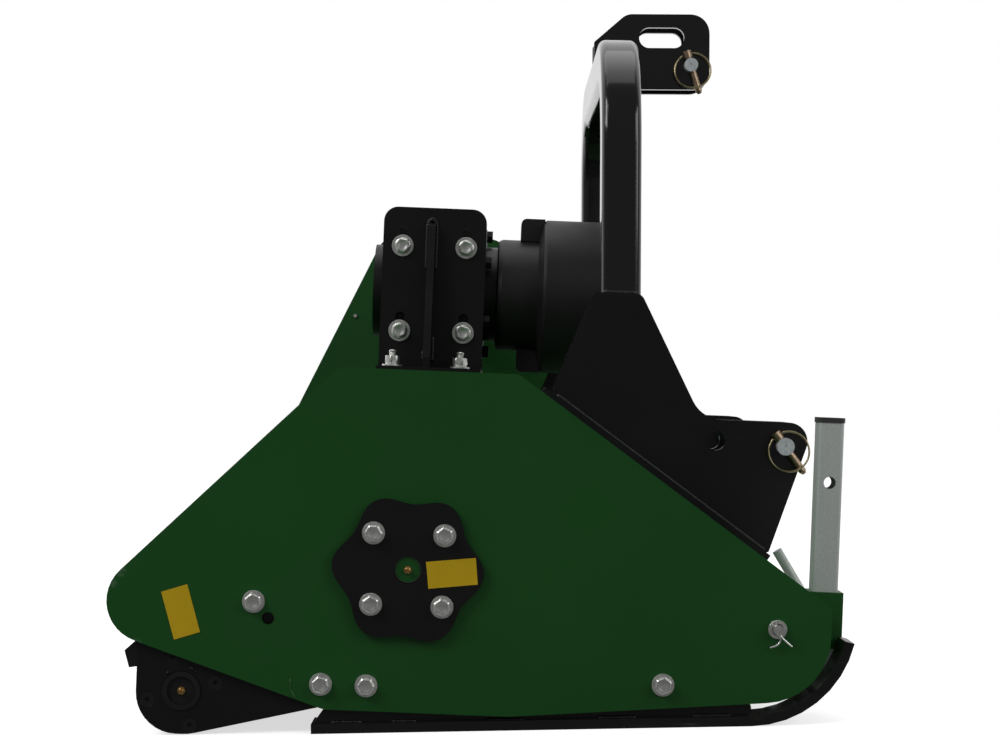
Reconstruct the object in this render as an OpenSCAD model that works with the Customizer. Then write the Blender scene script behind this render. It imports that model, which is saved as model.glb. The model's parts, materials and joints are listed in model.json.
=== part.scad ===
// Flail mulcher for the three-point hitch of a small tractor.
// It stands nose-down on its two skids and its rear roller, as it is parked.
// Machine frame: origin on the rotor axis, X to the right-hand side, Y forward, Z up, leaned by pitch.
// Floor frame: the same X and Y, but upright, with Z = 0 on the floor.

/* [Stance] */
// Height of the rotor axis above the floor
rotor_h = 187; // [184:0.5:192]
// Nose-down lean of the machine
pitch = 3.3; // [2.8:0.1:3.8]

/* [Housing] */
// Width over the outer faces of the side plates
housing_w = 1300; // [1200:10:1500]
// Thickness of the side plates
side_t = 8; // [6:0.5:10]
// Height of the deck above the rotor axis
deck_h = 230; // [226:1:238]
// Reach of the deck behind the rotor axis
deck_rear = 88; // [80:1:95]
// Reach of the deck in front of the rotor axis
deck_front = 119; // [110:1:125]
// Reach of the side plates in front of the rotor axis
nose_reach = 491; // [485:1:495]
// Depth of the nose's upper corner below the rotor axis
nose_drop = 26; // [20:1:30]
// Radius of the nose's lower corner
nose_r = 78; // [60:1:85]
// Depth of the side plates below the rotor axis
belly_depth = 165; // [160:1:168]
// Slope of the lower edge in front of the belly, in degrees
belly_rise = 5.3; // [4.5:0.1:6]
// Reach of the tail's sharp corner behind the rotor axis
tail_reach = 388; // [380:1:394]
// Depth of the tail's sharp corner below the rotor axis
tail_drop = 70; // [66:1:74]
// Radius of the tail
tail_r = 48.5; // [40:0.5:52]
// Thickness of the hood sheet
hood_t = 5; // [4:0.5:6]
// How far the hood sheet lies inside the side plates' edges
hood_inset = 2; // [1:0.5:4]
// Length of the hood's front lip
front_lip = 90; // [70:1:94]
// Reach of the hood's rear lip behind the rotor axis
rear_lip_reach = 334; // [330:1:338]
// Length of the hood's rear lip
rear_lip = 40; // [30:1:44]

/* [Left tower] */
// Height of the left side plate's tower above the upper pulley
tower_margin = 36; // [30:1:48]
// Reach of the tower's top corner behind the rotor axis
tower_rear = 106; // [100:1:112]
// Reach of the tower's top corner in front of the rotor axis
tower_front = 98; // [92:1:106]
// Reach of the tower's foot in front of the rotor axis
tower_foot = 215; // [205:1:225]
// Slope of the tower's rear edge, in degrees
tower_rear_slope = 65.4; // [64:0.1:67]

/* [Rotor] */
// Outer radius of the rotor tube
rotor_r = 51; // [46:0.5:53]
// Wall of the rotor tube
rotor_wall = 8; // [6:0.5:10]
// Radius of the rotor's stub shafts
stub_r = 15; // [12:0.5:17.5]
// Radius of the circle that the flail bolts sit on
flail_pivot_r = 80; // [78:0.5:84]
// Length of a flail from its bolt to its tip
flail_len = 85; // [75:1:88]
// Width of a flail's cutting edge
flail_w = 58; // [50:1:59]
// Thickness of a flail
flail_t = 8; // [6:0.5:8]
// Radius of the flail bolts
flail_bolt_r = 8; // [6:0.5:9]
// Flails in one row
flails_per_row = 5; // [4:1:6]

/* [Belt drive] */
// Height of the gearbox shafts above the deck
shaft_over_deck = 117; // [112:1:122]
// Pitch radius of the upper pulley
drive_pulley_r = 85; // [75:1:88]
// Pitch radius of the lower pulley
rotor_pulley_r = 68; // [60:1:80]
// Number of belts
belt_count = 3; // [2:1:3]
// Width of a belt's outer face
belt_w = 16; // [12:0.5:17]
// Height of a belt's section
belt_h = 12; // [8:0.5:13]
// Distance between belts
belt_pitch = 20; // [18:0.5:21]
// Depth of the belt cover
cover_depth = 100; // [96:1:120]

/* [Gearbox] */
// Radius of the cross shaft
cross_r = 17.5; // [15:0.5:20]
// Radius of the splined input shaft
pto_r = 17.4; // [15:0.1:20]
// Half width of the gearbox across its side faces
gearbox_half_w = 88; // [84:1:96]
// Radius of the rear cover
rear_cover_r = 65; // [62:1:68]
// Teeth of the crown gear
crown_teeth = 28; // [26:1:29]
// Teeth of the bevel pinion
pinion_teeth = 11; // [10:1:12]
// Module of the bevel gears
gear_module = 4; // [3.6:0.1:4.1]
// Radius of the input guard at its neck
guard_neck_r = 79; // [76:0.5:84]
// Radius of the input guard's bell
guard_bell_r = 109; // [104:0.5:114]
// Front end of the input guard, measured from the cross shaft
guard_front = 262; // [250:1:275]

/* [Gearbox brackets] */
// Width of a bracket plate
bracket_w = 143; // [135:1:150]
// Thickness of a bracket plate
bracket_t = 12; // [8:1:14]
// Height of a bracket plate above its base plate
bracket_h = 222; // [212:1:228]
// Distance between the bracket bolts, front to rear
bracket_bolt_y = 88; // [82:1:94]
// Distance between the bracket bolts, top to bottom
bracket_bolt_z = 118; // [110:1:124]
// Thickness of the base plate on the deck
base_t = 10; // [8:1:14]

/* [Hitch] */
// Distance between the middles of the two lower hitch clevises
hitch_spread = 690; // [640:5:740]
// Gap between the two cheeks of a clevis
clevis_gap = 60; // [50:1:64]
// Thickness of a cheek
cheek_t = 10; // [8:0.5:12]
// Thickness of the plates under the cheeks
hitch_base_t = 12; // [8:0.5:14]
// Radius of the lower hitch pins
lower_pin_r = 11; // [9.5:0.1:12]
// Radius of the spare hole in the cheeks
spare_hole_r = 12.25; // [11:0.25:13]
// Reach of the lower hitch pins in front of the rotor axis
lower_pin_y = 461; // [455:1:464]
// Height of the lower hitch pins above the rotor axis
lower_pin_z = 154; // [150:1:158]
// Reach of the spare holes in front of the rotor axis
spare_hole_y = 374; // [370:1:384]

/* [Mast] */
// Width of the hoop's tube across the machine
hoop_tube_x = 60; // [50:1:64]
// Depth of the hoop's tube, front to rear
hoop_tube_y = 51; // [44:1:56]
// Wall of the hoop's tube
hoop_wall = 5; // [4:0.5:6]
// Outer radius of the hoop's bends
hoop_bend_r = 150; // [120:5:200]
// Backward lean of the hoop against the machine, in degrees
hoop_lean = 2; // [1:0.5:3]
// Height of the hoop's top above the cheeks
hoop_h = 343; // [320:1:360]
// Gap between the top link plates
top_link_gap = 44; // [40:1:48]
// Thickness of the top link plates
top_link_t = 8; // [6:0.5:10]
// Radius of the top link pin
top_pin_r = 9.6; // [9:0.1:11]
// Length of the top link slot
slot_len = 64; // [50:1:68]
// Height of the top link slot
slot_h = 29; // [26:0.5:30]

/* [Roller] */
// Radius of the roller
roller_r = 51; // [48:0.5:52]
// Wall of the roller
roller_wall = 5; // [4:0.5:6]
// Reach of the roller axis behind the rotor axis
roller_reach = 256.5; // [252:0.5:258]
// Thickness of the roller arms
arm_t = 8; // [6:0.5:10]
// Travel of the roller arms, in degrees
arm_travel = 12; // [8:1:13]
// Radius of the roller's axle ends
axle_r = 12.5; // [10:0.5:14]

/* [Skids] */
// Thickness of a skid's sole
sole_t = 11; // [8:1:12]
// Width of a skid's sole
sole_w = 60; // [50:1:64]
// Radius of a skid's upturned front, on its underside
sole_r = 125; // [115:1:130]
// Sweep of a skid's upturned front, in degrees
sole_sweep = 75; // [65:1:78]
// Length of a skid's flat sole
sole_len = 507; // [495:1:512]

/* [Front flaps] */
// Number of flaps
flap_count = 12; // [9:1:14]
// Length of a flap below its rod
flap_len = 90; // [70:1:92]
// Thickness of a flap
flap_t = 6; // [4:0.5:8]
// Radius of the flap rod
flap_rod_r = 5.75; // [5:0.25:7]

/* [Parking stand] */
// Depth of the stand tube, front to rear
stand_y = 30; // [25:1:32]
// Width of the stand tube across the machine
stand_x = 40; // [30:1:44]
// Wall of the stand tube
stand_wall = 3; // [2:0.5:4]
// Length of the stand tube
stand_len = 305; // [280:1:330]
// Radius of the locking pin
lock_pin_r = 6; // [5:0.25:6.5]

/* [Hidden] */
$fn = 48;
eps = 0.01;
run_fit = 0.05;
bolt_fit = 0.5;
arc_step = 10;

// Colours
green = [0.10, 0.24, 0.12];
black = [0.07, 0.07, 0.08];
plastic = [0.12, 0.12, 0.13];
zinc = [0.72, 0.73, 0.74];
steel = [0.50, 0.51, 0.53];
brass = [0.70, 0.52, 0.22];
rubber = [0.10, 0.10, 0.10];

// Widths across the machine
side_x = housing_w / 2;
inner_x = side_x - side_t;

// Heights above the rotor axis
shaft_h = deck_h + shaft_over_deck;
tower_h = shaft_h + drive_pulley_r + tower_margin;

// Helpers for outlines made of corners [y, z, radius]
function unit(v) = v / norm(v);
function flat(p) = [p[0], p[1]];
function corner(p, r = 0) = [p[0], p[1], r];
function arc_points(c, r, a0, sweep) =
    let(n = max(2, ceil(abs(sweep) / arc_step)))
    [for (i = [0:n]) c + r * [cos(a0 + sweep * i / n), sin(a0 + sweep * i / n)]];
function corner_points(a, b, c, r) =
    let(u = unit(a - b), w = unit(c - b))
    let(half = acos(u * w) / 2)
    let(centre = b + unit(u + w) * r / sin(half))
    let(start = b + u * r / tan(half), end = b + w * r / tan(half))
    let(a0 = atan2(start[1] - centre[1], start[0] - centre[0]))
    let(a1 = atan2(end[1] - centre[1], end[0] - centre[0]))
    let(turn = a1 - a0)
    let(sweep = turn > 180 ? turn - 360 : turn < -180 ? turn + 360 : turn)
    arc_points(centre, r, a0, sweep);
function rounded(corners) =
    let(n = len(corners))
    [for (i = [0:n - 1])
        let(b = corners[i], a = corners[(i + n - 1) % n], c = corners[(i + 1) % n])
        each b[2] > 0 ? corner_points(flat(a), flat(b), flat(c), b[2]) : [flat(b)]];
// Closed outline moved inwards by d; its corners run clockwise
function inset(corners, d) =
    let(n = len(corners))
    [for (i = [0:n - 1])
        let(b = flat(corners[i]), a = flat(corners[(i + n - 1) % n]), c = flat(corners[(i + 1) % n]))
        let(u = unit(b - a), w = unit(c - b))
        let(m = [u[1] + w[1], -u[0] - w[0]])
        let(p = b + m * d / (m * [u[1], -u[0]]))
        [p[0], p[1], max(corners[i][2] - d, 1)]];
// Band of thickness t on the right-hand side of an open path
function side_step(path, i, t) =
    let(b = flat(path[i]))
    let(u = i > 0 ? unit(b - flat(path[i - 1])) : unit(flat(path[1]) - b))
    let(w = i < len(path) - 1 ? unit(flat(path[i + 1]) - b) : u)
    let(m = [u[1] + w[1], -u[0] - w[0]])
    let(p = b + m * t / (m * [u[1], -u[0]]))
    [p[0], p[1], max(path[i][2] - t, 0)];
function band(path, t) =
    concat(path, [for (i = [len(path) - 1:-1:0]) side_step(path, i, t)]);

// Machine-frame point [y, z] as a floor-frame point
function to_floor(p) = [
    p[0] * cos(pitch) + p[1] * sin(pitch),
    rotor_h - p[0] * sin(pitch) + p[1] * cos(pitch)
];

// Key points of the housing outline
front_slope = atan2(deck_h + nose_drop, nose_reach - deck_front);
rear_slope = atan2(deck_h + tail_drop, tail_reach - deck_rear);
nose_low = -belly_depth + (nose_reach - 122) * tan(belly_rise);
tail_slope = atan2(belly_depth - tail_drop, tail_reach - 91);
side_corners = [
    [-deck_rear, deck_h, 8], [deck_front, deck_h, 8], [nose_reach, -nose_drop, 6],
    [nose_reach, nose_low, nose_r], [122, -belly_depth, 60], [-91, -belly_depth, 20],
    [-tail_reach, -tail_drop, tail_r]
];
function front_line(y) = deck_h - (y - deck_front) * tan(front_slope);
function rear_line(y) = deck_h - (-deck_rear - y) * tan(rear_slope);
function tower_rear_at(z) = -tower_rear - (tower_h - z) / tan(tower_rear_slope);
function tower_front_at(z) =
    tower_front + (tower_h - z) * (tower_foot - tower_front) / (tower_h - front_line(tower_foot));
left_tail = let(k = 1 / tan(tower_rear_slope), t = tan(tail_slope), y0 = tower_rear_at(0))
    let(y = (y0 + k * (-belly_depth - 91 * t)) / (1 + k * t))
    [y, -belly_depth - (y + 91) * t];
left_corners = [
    [-tower_rear, tower_h, 40], [tower_front, tower_h, 40],
    [tower_foot, front_line(tower_foot), 30], [nose_reach, -nose_drop, 6],
    [nose_reach, nose_low, nose_r], [122, -belly_depth, 60], [-91, -belly_depth, 20],
    [left_tail[0], left_tail[1], tail_r]
];

along_slope = [cos(front_slope), -sin(front_slope)];
slope_normal = [sin(front_slope), cos(front_slope)];
function on_slope(y, lift) = [y, front_line(y)] + slope_normal * lift;

// Places of holes and axes in the machine frame
flap_rod_at = [nose_reach - 62.5, -52];
arm_pivot = [-95.3, -136.1];
arm_lock = [-176.4, -43.9];
spare_lock = [-159.1, -62.7];
skid_holes = [[-42.9, -135.8], [299, -121.3]];
hub_bolt = 41;
bolt_r = 6;
roller_at = [-roller_reach, (roller_r - rotor_h - roller_reach * sin(pitch)) / cos(pitch)];

// Centring of the whole machine on the origin
hub_flange_t = 8;
bolt_head = 11;
right_end = side_x + hub_flange_t + bolt_head;
left_end = side_x + cover_depth;
centre_x = (left_end - right_end) / 2;
sole_front = to_floor([skid_holes[0][0], 0])[0] - 72 + sole_len;
front_reach = sole_front + sole_r * sin(sole_sweep);
rear_reach = (tail_reach - 42) * cos(pitch);
rotor_y = (rear_reach - front_reach) / 2;

// Frames
module machine() {
    translate([centre_x, rotor_y, rotor_h]) rotate([-pitch, 0, 0]) children();
}
module floor_frame() {
    translate([centre_x, rotor_y, 0]) children();
}
module rotor_frame() {
    translate([centre_x, rotor_y, rotor_h]) children();
}
module mast_frame() {
    machine() translate([0, mast_y, mast_z]) rotate([hoop_lean, 0, 0]) children();
}

// Solids that run across the machine
module slab(x0, x1, corners) {
    translate([min(x0, x1), 0, 0]) rotate([90, 0, 90])
        linear_extrude(abs(x1 - x0)) polygon(rounded(corners));
}
module rod(x0, x1, r, at = [0, 0]) {
    translate([min(x0, x1), at[0], at[1]]) rotate([0, 90, 0]) cylinder(h = abs(x1 - x0), r = r);
}
module rod_y(y0, y1, r, x = 0, z = 0) {
    translate([x, max(y0, y1), z]) rotate([90, 0, 0]) cylinder(h = abs(y1 - y0), r = r);
}
module both_sides() {
    children();
    mirror([1, 0, 0]) children();
}

// Fasteners
module hex(h, flats) {
    cylinder(h = h, r = flats / 2 / cos(30), $fn = 6);
}
// Flange bolt whose head sits at x0 and points outwards; grip is the length between head and nut
module flange_bolt(x0, at, grip) {
    translate([x0, at[0], at[1]]) rotate([0, 90, 0]) {
        cylinder(h = 3, r1 = 13.2, r2 = 12);
        translate([0, 0, 2]) hex(bolt_head - 2, 18);
        translate([0, 0, -grip - 16]) cylinder(h = grip + 17, r = bolt_r);
        translate([0, 0, -grip - 12]) hex(10, 18);
        translate([0, 0, -grip - 2.5]) cylinder(h = 2.5, r = 12.5);
    }
}
module screw(h, r, flats, head_h) {
    translate([0, 0, -h]) cylinder(h = h + 1, r = r);
    hex(head_h, flats);
}

// Side plates
module plate_holes(x0, x1, at_hub = true) {
    rod(x0, x1, hub_bore_r + 0.5);
    for (y = [-hub_bolt, hub_bolt], z = [-hub_bolt, hub_bolt]) rod(x0, x1, bolt_r + bolt_fit, [y, z]);
    for (p = concat([arm_pivot, arm_lock], skid_holes)) rod(x0, x1, bolt_r + bolt_fit, p);
    rod(x0, x1, 7.25, spare_lock);
    rod(x0, x1, flap_rod_r + bolt_fit, flap_rod_at);
}
module side_plate_right() {
    machine() color(green) difference() {
        slab(inner_x, side_x, side_corners);
        plate_holes(inner_x - 1, side_x + 1);
    }
}
module side_plate_left() {
    machine() color(green) difference() {
        slab(-side_x, -inner_x, left_corners);
        plate_holes(-side_x - 1, -inner_x + 1);
        rod(-side_x - 1, -inner_x + 1, tube_r + 0.5, [0, shaft_h]);
        for (a = [45:90:315])
            rod(-side_x - 1, -inner_x + 1, 4.5, [0, shaft_h] + tube_bolt_r * [cos(a), sin(a)]);
        for (p = cover_screw_at) rod(-side_x - 1, -inner_x + 1, 3.5, p);
    }
}

// Hood: one bent sheet between the side plates, with a rear and a front lip
lip_y = nose_reach - 20;
hood_rear_z = rear_line(-rear_lip_reach) - hood_inset / cos(rear_slope);
hood_lip_z = front_line(lip_y) - hood_inset / cos(front_slope);
hood_path = [
    [-rear_lip_reach, hood_rear_z - rear_lip, 0], [-rear_lip_reach, hood_rear_z, 12],
    [-deck_rear + hood_inset * tan(rear_slope / 2), deck_h - hood_inset, 8],
    [deck_front - hood_inset * tan(front_slope / 2), deck_h - hood_inset, 8],
    [lip_y, hood_lip_z, 10], [lip_y, hood_lip_z - front_lip, 0]
];
notch_side = 4;
notch_deep = 24;
notch_half_h = 20;
module hood_shell() {
    machine() color(green) difference() {
        slab(-inner_x, inner_x, band(hood_path, hood_t));
        for (x = rear_screw_x)
            rod_y(-rear_lip_reach - 1, -rear_lip_reach + hood_t + 1, 4.3, x, rear_screw_z);
        // Notch in the front lip that the handle of the stand's locking pin moves in
        gap = lock_pin_r + notch_side;
        translate([pin_bend_x - lock_travel - gap, lip_y - notch_deep, hood_lip_z - notch_half_h])
            cube([lock_travel + 2 * gap, notch_deep + 1, 2 * notch_half_h]);
    }
}
// Toothed bar inside the hood's front slope
blade_at = 300;
blade_t = 12;
blade_deep = 24;
module counter_blade() {
    root = on_slope(blade_at, -hood_inset - hood_t);
    back = root - along_slope * blade_t;
    corners = [
        corner(root), corner(back), corner(back - slope_normal * blade_deep),
        corner(root - slope_normal * blade_deep)
    ];
    machine() color(black) slab(-inner_x + 2, inner_x - 2, corners);
}
// Rubber flap behind the roller's top, hung inside the rear lip
rear_screw_z = hood_rear_z - rear_lip + 14;
rear_screw_x = [-570:190:570];
rear_flap_t = 6;
rear_flap_drop = 26;
module rear_flap() {
    y0 = -rear_lip_reach + hood_t;
    z1 = hood_rear_z - 10;
    z0 = hood_rear_z - rear_lip - rear_flap_drop;
    machine() color(rubber) difference() {
        slab(-inner_x + 6, inner_x - 6, [[y0, z0, 0], [y0, z1, 0], [y0 + rear_flap_t, z1, 0],
            [y0 + rear_flap_t, z0, 0]]);
        for (x = rear_screw_x) rod_y(y0 - 1, y0 + rear_flap_t + 1, 4.3, x, rear_screw_z);
    }
}

// Lower hitch: cheeks on base plates, with the foot of the mast between them
mast_y = 247.5;
mast_z = 340;
cheek_mid = hitch_spread / 2;
cheek_inner = cheek_mid - clevis_gap / 2;
cheek_outer = cheek_mid + clevis_gap / 2;
base_lift = hitch_base_t - hood_inset;
base_rear = 150;
base_front = lip_y - 29;
cheek_top = lower_pin_z + 30.5;
cheek_corners = [
    [213, mast_z, 4], [273, mast_z, 12], [355, cheek_top, 42],
    [lower_pin_y + 38, cheek_top, 24], corner(on_slope(base_front - 2, base_lift), 3),
    corner(on_slope(base_rear + 8, base_lift), 3)
];
module hitch_base_plates() {
    corners = [
        corner(on_slope(base_rear, -hood_inset)), corner(on_slope(base_rear, base_lift)),
        corner(on_slope(base_front, base_lift)), corner(on_slope(base_front, -hood_inset))
    ];
    machine() color(black) both_sides()
        slab(cheek_inner - cheek_t - 12, cheek_outer + cheek_t + 12, corners);
}
module cheek(x0) {
    difference() {
        slab(x0, x0 + cheek_t, cheek_corners);
        rod(x0 - 1, x0 + cheek_t + 1, lower_pin_r + bolt_fit, [lower_pin_y, lower_pin_z]);
        rod(x0 - 1, x0 + cheek_t + 1, spare_hole_r, [spare_hole_y, lower_pin_z + 4]);
    }
}
module hitch_cheeks_right() {
    machine() color(black) {
        cheek(cheek_inner - cheek_t);
        cheek(cheek_outer);
    }
}
module hitch_cheeks_left() {
    machine() color(black) mirror([1, 0, 0]) {
        cheek(cheek_inner - cheek_t);
        cheek(cheek_outer);
    }
}

// Mast: a hoop of rectangular tube between the clevises, leaning back a little
hoop_leg = 150;
module round_section(wall) {
    w = hoop_tube_x - 2 * wall;
    d = hoop_tube_y - 2 * wall;
    r = max(10 - wall, 2);
    polygon(rounded([[-w / 2, -d / 2, r], [w / 2, -d / 2, r], [w / 2, d / 2, r], [-w / 2, d / 2, r]]));
}
module hoop_sweep(wall) {
    bend_mid = hoop_bend_r - hoop_tube_x / 2;
    leg_x = cheek_mid;
    leg_top = hoop_h - hoop_bend_r;
    for (s = [-1, 1]) {
        translate([s * leg_x, 0, -hoop_leg]) linear_extrude(hoop_leg + leg_top) round_section(wall);
        translate([s * (leg_x - bend_mid), 0, leg_top]) rotate([90, 0, 0])
            rotate([0, 0, s > 0 ? 0 : 90]) rotate_extrude(angle = 90)
                translate([bend_mid, 0]) round_section(wall);
    }
    translate([-leg_x + bend_mid, 0, leg_top + bend_mid]) rotate([0, 90, 0])
        linear_extrude(2 * (leg_x - bend_mid)) round_section(wall);
}
module mast_hoop() {
    mast_frame() color(black) difference() {
        hoop_sweep(0);
        hoop_sweep(hoop_wall);
    }
}
top_pin_at = [115, hoop_h - 5.6];
slot_at = [74, hoop_h + 34.5];
module top_link_plate(x0) {
    d = hoop_tube_y / 2;
    corners = [
        [-22, hoop_h, 0], [-22, hoop_h + 28, 4], [24, hoop_h + 68, 22], [142, hoop_h + 68, 27],
        [142, hoop_h - 39, 25], [d, hoop_h - 39, 0], [d, hoop_h, 0]
    ];
    difference() {
        slab(x0, x0 + top_link_t, corners);
        rod(x0 - 1, x0 + top_link_t + 1, top_pin_r + bolt_fit, top_pin_at);
        for (y = [-1, 1] * (slot_len - slot_h) / 2)
            rod(x0 - 1, x0 + top_link_t + 1, slot_h / 2, slot_at + [y, 0]);
        translate([x0 - 1, slot_at[0] - (slot_len - slot_h) / 2, slot_at[1] - slot_h / 2])
            cube([top_link_t + 2, slot_len - slot_h, slot_h]);
    }
}
module top_link_plates() {
    mast_frame() color(black) both_sides() top_link_plate(top_link_gap / 2);
}

// Hitch pins, each with a head on one end and a cross hole for its linchpin on the other
link_r = 4.75;
link_hole = link_r + 0.25;
link_offset = 2 + link_r;
pin_tail = link_offset + link_r + 5;
link_head = 10;
link_up = lower_pin_r + 0.3 + link_head / 2;
link_down = 38;
lower_link_tilt = 38;
top_link_tilt = 19.6 - hoop_lean;
module hitch_pin(x_head, x_face, r, at, tilt) {
    translate([0, at[0], at[1]]) difference() {
        union() {
            rod(x_head - 8, x_head, r + 7);
            rod(x_head, x_face + pin_tail, r);
        }
        translate([x_face + link_offset, 0, 0]) rotate([tilt, 0, 0])
            cylinder(h = 4 * r, r = link_hole, center = true);
        rod(x_face + pin_tail - 1.2, x_face + pin_tail + 1, 2.2);
    }
}
lower_pin_at = [lower_pin_y, lower_pin_z];
lower_face = cheek_outer + cheek_t;
top_face = top_link_gap / 2 + top_link_t;
module hitch_pins() {
    color(zinc) {
        machine() both_sides()
            hitch_pin(cheek_inner - cheek_t - 0.5, lower_face, lower_pin_r, lower_pin_at, lower_link_tilt);
        mast_frame() hitch_pin(-top_face - 0.5, top_face, top_pin_r, top_pin_at, top_link_tilt);
    }
}
// Places a linchpin: local Z runs along it towards its head, local X away from the cheek
module at_link(x_face, at, tilt) {
    translate([x_face + link_offset, at[0], at[1]]) rotate([tilt, 0, 0]) children();
}
module linchpin() {
    difference() {
        union() {
            translate([0, 0, -link_down]) cylinder(h = link_down + link_up, r = link_r);
            translate([0, 0, -link_down - 4]) cylinder(h = 4, r1 = 2.5, r2 = link_r);
            translate([0, 0, link_up - link_head / 2]) cylinder(h = link_head, r = 6.5);
        }
        translate([0, 10, link_up]) rotate([90, 0, 0]) cylinder(h = 20, r = 1.6);
    }
}
module linchpins() {
    color(brass) {
        machine() both_sides() at_link(lower_face, lower_pin_at, lower_link_tilt) linchpin();
        mast_frame() at_link(top_face, top_pin_at, top_link_tilt) linchpin();
    }
}
ring_r = 25.4;
ring_wire = 1.3;
ring_tilt = 9;
module ring() {
    open = asin(7.2 / ring_r);
    translate([0, 0, link_up]) rotate([0, -ring_tilt, 0]) translate([0, 0, -ring_r * cos(open)])
        rotate([0, 90, 0]) rotate([0, 0, 180 + open])
            rotate_extrude(angle = 360 - 2 * open) translate([ring_r, 0]) circle(r = ring_wire, $fn = 24);
}
module linchpin_ring_right() {
    machine() color(brass) at_link(lower_face, lower_pin_at, lower_link_tilt) ring();
}
module linchpin_ring_left() {
    machine() color(brass) mirror([1, 0, 0]) at_link(lower_face, lower_pin_at, lower_link_tilt) ring();
}
module linchpin_ring_top() {
    mast_frame() color(brass) at_link(top_face, top_pin_at, top_link_tilt) ring();
}

// Gearbox, carried between two bracket plates on a base plate on the deck
deck_top = deck_h - hood_inset;
base_top = deck_top + base_t;
bracket_x = gearbox_half_w;
bracket_out = bracket_x + bracket_t;
bracket_bolts_at = [
    for (y = [-1, 1], z = [-1, 1]) [y * bracket_bolt_y / 2, shaft_h + z * bracket_bolt_z / 2]
];
slot_up = 20;
stud_y = 46.5;
stud_x = bracket_out + 36;
rib_t = 10;
rib_at = -4;
rib_reach = 52;
module gearbox_base_plate() {
    machine() color(black) difference() {
        translate([-stud_x - 30, -bracket_w / 2, deck_top]) cube([2 * stud_x + 60, bracket_w, base_t]);
        for (x = [-stud_x, stud_x], y = [-stud_y, stud_y])
            translate([x, y + rib_at, deck_top - 1]) cylinder(h = base_t + 2, r = 6.5);
    }
}
module bracket_plate() {
    w = bracket_w / 2;
    top = base_top + bracket_h;
    slot_r = bolt_r + bolt_fit;
    difference() {
        union() {
            slab(bracket_x, bracket_out, [[-w, base_top, 0], [-w, top, 20], [w, top, 20], [w, base_top, 0]]);
            translate([0, rib_at + rib_t / 2, 0]) rotate([90, 0, 0]) linear_extrude(rib_t) polygon([
                [bracket_out - eps, base_top], [bracket_out + rib_reach, base_top],
                [bracket_out + rib_reach, base_top + 14], [bracket_out + 14, top - 26],
                [bracket_out - eps, top - 20]
            ]);
        }
        for (p = bracket_bolts_at) {
            rod(bracket_x - 1, bracket_out + 1, slot_r, p);
            rod(bracket_x - 1, bracket_out + 1, slot_r, p + [0, slot_up]);
            translate([bracket_x - 1, p[0] - slot_r, p[1]]) cube([bracket_t + 2, 2 * slot_r, slot_up]);
        }
    }
}
module gearbox_bracket_right() {
    machine() color(black) bracket_plate();
}
module gearbox_bracket_left() {
    machine() color(black) mirror([1, 0, 0]) difference() {
        bracket_plate();
        rod(bracket_x - 1, bracket_out + rib_reach, tube_r + 0.3, [0, shaft_h]);
    }
}
module bracket_bolt() {
    // Local Z points away from the bracket plate
    cylinder(h = 2.5, r = 15);
    translate([0, 0, 2.5]) hex(8, 19);
    translate([0, 0, -bracket_t - 16]) cylinder(h = bracket_t + 18, r = bolt_r);
}
module deck_stud() {
    translate([0, 0, -base_t]) cylinder(h = base_t + 24, r = bolt_r);
    cylinder(h = 2.5, r = 12);
    translate([0, 0, 2.5]) hex(10, 18);
}
module bracket_bolts() {
    machine() color(zinc) both_sides() {
        for (p = bracket_bolts_at)
            translate([bracket_out, p[0], p[1]]) rotate([0, 90, 0]) bracket_bolt();
        for (y = [-stud_y, stud_y]) translate([stud_x, y + rib_at, base_top]) deck_stud();
    }
}

// Gearbox housing: a cast box with round side bosses and a round front flange
housing_rear = -72;
housing_front = 58;
housing_half_h = 66;
boss_half = 72;
cavity_r = 60;
rear_hole_r = 46;
bearing_r = 40;
bearing_w = 17;
tube_seat = 3;
flange_front = 72;
flange_r = 92;
flange_flat = bracket_x - 1;
flange_screw_r = 82;
rear_screw_r = 55;
rear_screw_t = 4;
module gearbox_housing() {
    machine() color(black) difference() {
        union() {
            translate([-64, housing_rear, shaft_h - housing_half_h])
                cube([128, housing_front - housing_rear, 2 * housing_half_h]);
            slab(-bracket_x, bracket_x, [[-58, shaft_h - boss_half, 14], [-58, shaft_h + boss_half, 14],
                [58, shaft_h + boss_half, 14], [58, shaft_h - boss_half, 14]]);
            // Round flange with two flats, between the bracket plates
            intersection() {
                rod_y(housing_front, flange_front, flange_r, 0, shaft_h);
                translate([-flange_flat, housing_front - 1, shaft_h - flange_r])
                    cube([2 * flange_flat, flange_front - housing_front + 2, 2 * flange_r]);
            }
        }
        rod_y(housing_rear + 12, flange_front - 8, cavity_r, 0, shaft_h);
        rod_y(housing_rear - 1, housing_rear + 13, rear_hole_r, 0, shaft_h);
        for (a = [45:90:315])
            rod_y(housing_rear - 1, housing_rear + 11, rear_screw_t + run_fit, rear_screw_r * cos(a),
                shaft_h + rear_screw_r * sin(a));
        rod_y(flange_front - 9, flange_front + 1, 36, 0, shaft_h);
        rod(-bracket_x - 1, -66, tube_r + run_fit, [0, shaft_h]);
        rod(-bracket_x + tube_seat, 66, bearing_r, [0, shaft_h]);
        for (p = bracket_bolts_at) {
            rod(bracket_x - 18, bracket_x + 1, bolt_r + bolt_fit, p);
            rod(-bracket_x - 1, -bracket_x + 18, bolt_r + bolt_fit, p);
        }
        for (a = [30:60:330])
            rod_y(flange_front - 12, flange_front + 1, 5.2, flange_screw_r * cos(a),
                shaft_h + flange_screw_r * sin(a));
    }
}
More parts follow.
